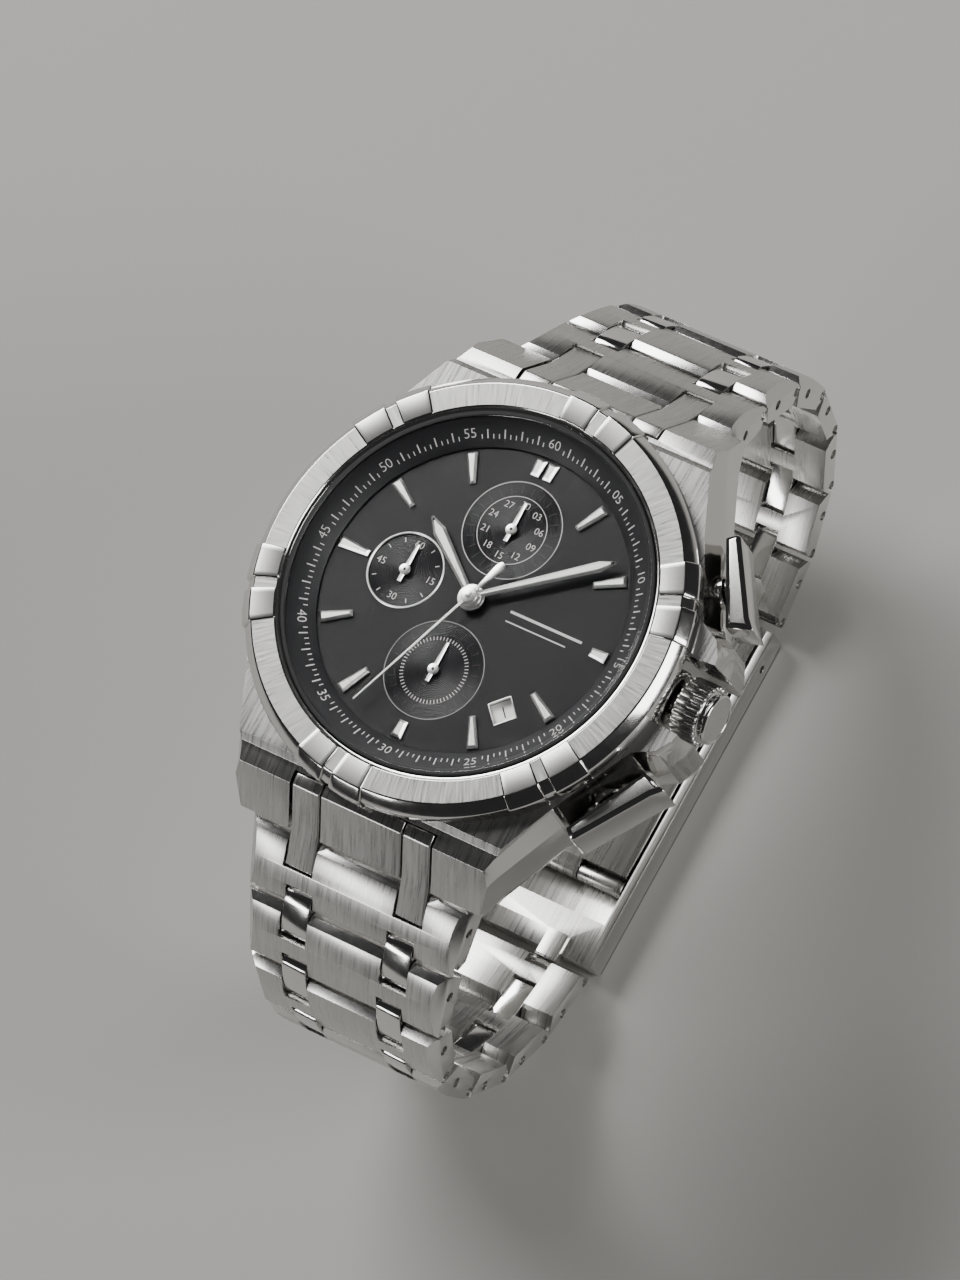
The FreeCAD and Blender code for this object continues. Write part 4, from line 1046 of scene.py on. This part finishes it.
def clasp():
    for node, name in (("clasp_lower_blade", "clasp_blade_lower"),
                       ("clasp_middle_blade", "clasp_blade_middle"),
                       ("clasp_cover", "clasp_cover_plate")):
        piece = lay_map(refined_copy(node, name, 0.12, 2))
        slot = "polished_steel" if node == "clasp_middle_blade" else "brushed_steel"
        finished(piece, node, slot, LINK_STEEL, POLISHED, replaces=[node],
                 paint=lambda centre, normal: 1 if abs(normal.x) > 0.5 else 0)


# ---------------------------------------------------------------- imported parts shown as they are


def pusher_springs():
    """Coils of the two push-pieces' springs, copied from the imported parts and held by the case."""
    for node, joint, side in (("pusher_spring_2", "push_2", 1), ("pusher_spring_4", "push_4", -1)):
        coil = smooth(own_copy(node, node + "_coil"), 40)
        finished(coil, "case", "spring_steel", WIRE, replaces=[node])
        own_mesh(coil)


def packed_parts():
    for nodes, material in ((("dial",), DIAL_BLACK), (("case_tubes", "spring_bars"), POLISHED),
                            (("winding_stem", "setting_lever"), WIRE),
                            (("movement",), NICKEL), (("battery",), CELL), (("movement_holder",), ACETAL)):
        for node in nodes:
            part = frame["nodes"][node]
            part.data.materials.clear()
            part.data.materials.append(material)


# ---------------------------------------------------------------- camera, floor and lamps

# The lens looks down on the dial from the side of 4 o'clock, turned so that 12 o'clock points up and right.
CAMERA_TARGET = Vector((2.75, -3.26, 9.0)) * MM
CAMERA_AZIMUTH = 65.4
CAMERA_ELEVATION = 62.6
CAMERA_DISTANCE = 748.2 * MM
CAMERA_ROLL = 38.67
LENS = 226.46


def direction(azimuth, elevation):
    """Unit vector towards a place: azimuth 0 is towards -Y and 90 towards +X."""
    turn, rise = math.radians(azimuth), math.radians(elevation)
    return Vector((math.sin(turn) * math.cos(rise), -math.cos(turn) * math.cos(rise), math.sin(rise)))


def camera():
    back = direction(CAMERA_AZIMUTH, CAMERA_ELEVATION)
    bpy.ops.object.camera_add(location=CAMERA_TARGET + back * CAMERA_DISTANCE)
    lens = bpy.context.active_object
    aim = (-back).to_track_quat("-Z", "Y").to_matrix().to_4x4()
    roll = Matrix.Rotation(math.radians(-CAMERA_ROLL), 4, "Z")
    lens.rotation_euler = (aim @ roll).to_euler()
    lens.data.lens = LENS
    lens.data.sensor_width = 36
    bpy.context.scene.camera = lens


def floor():
    deselect_all()
    bpy.ops.mesh.primitive_plane_add(size=4, location=(0, 0, cad_low.z - 0.02 * MM))
    ground = named(bpy.context.active_object, "floor")
    material, tree, shader = new_material("pale_floor", "#b4b2ae", Roughness=0.8)
    ground.data.materials.append(material)


def softbox(name, azimuth, elevation, distance, size, power):
    """A rectangular studio lamp that looks at the middle of the watch."""
    towards = direction(azimuth, elevation)
    bpy.ops.object.light_add(type="AREA", location=towards * distance)
    lamp = bpy.context.active_object
    lamp.name = name
    lamp.rotation_euler = towards.to_track_quat("Z", "Y").to_euler()
    lamp.data.shape = "RECTANGLE"
    lamp.data.size, lamp.data.size_y = size
    lamp.data.energy = power


def room():
    world = bpy.data.worlds.new("studio")
    world.use_nodes = True
    world.node_tree.nodes["Background"].inputs["Color"].default_value = linear("#9a9a9c")
    world.node_tree.nodes["Background"].inputs["Strength"].default_value = 0.08
    bpy.context.scene.world = world


bezel()
claws()
crystal()
minute_ring()
counter_at_twelve()
counter_at_six()
counter_at_nine()
dial_rules()
hour_markers()
date()
hands()
case()
crown()
pusher("pusher_2", 1)
pusher("pusher_4", -1)
bracelet_rows()
end_links()
clasp()
pusher_springs()
packed_parts()

camera()
floor()
room()
softbox("key", 236, 40, 0.9, (0.6, 0.4), 9)
softbox("side", 102, 25, 1.0, (0.5, 0.45), 6)
softbox("fill", -27, 21, 1.0, (0.45, 0.16), 2.2)
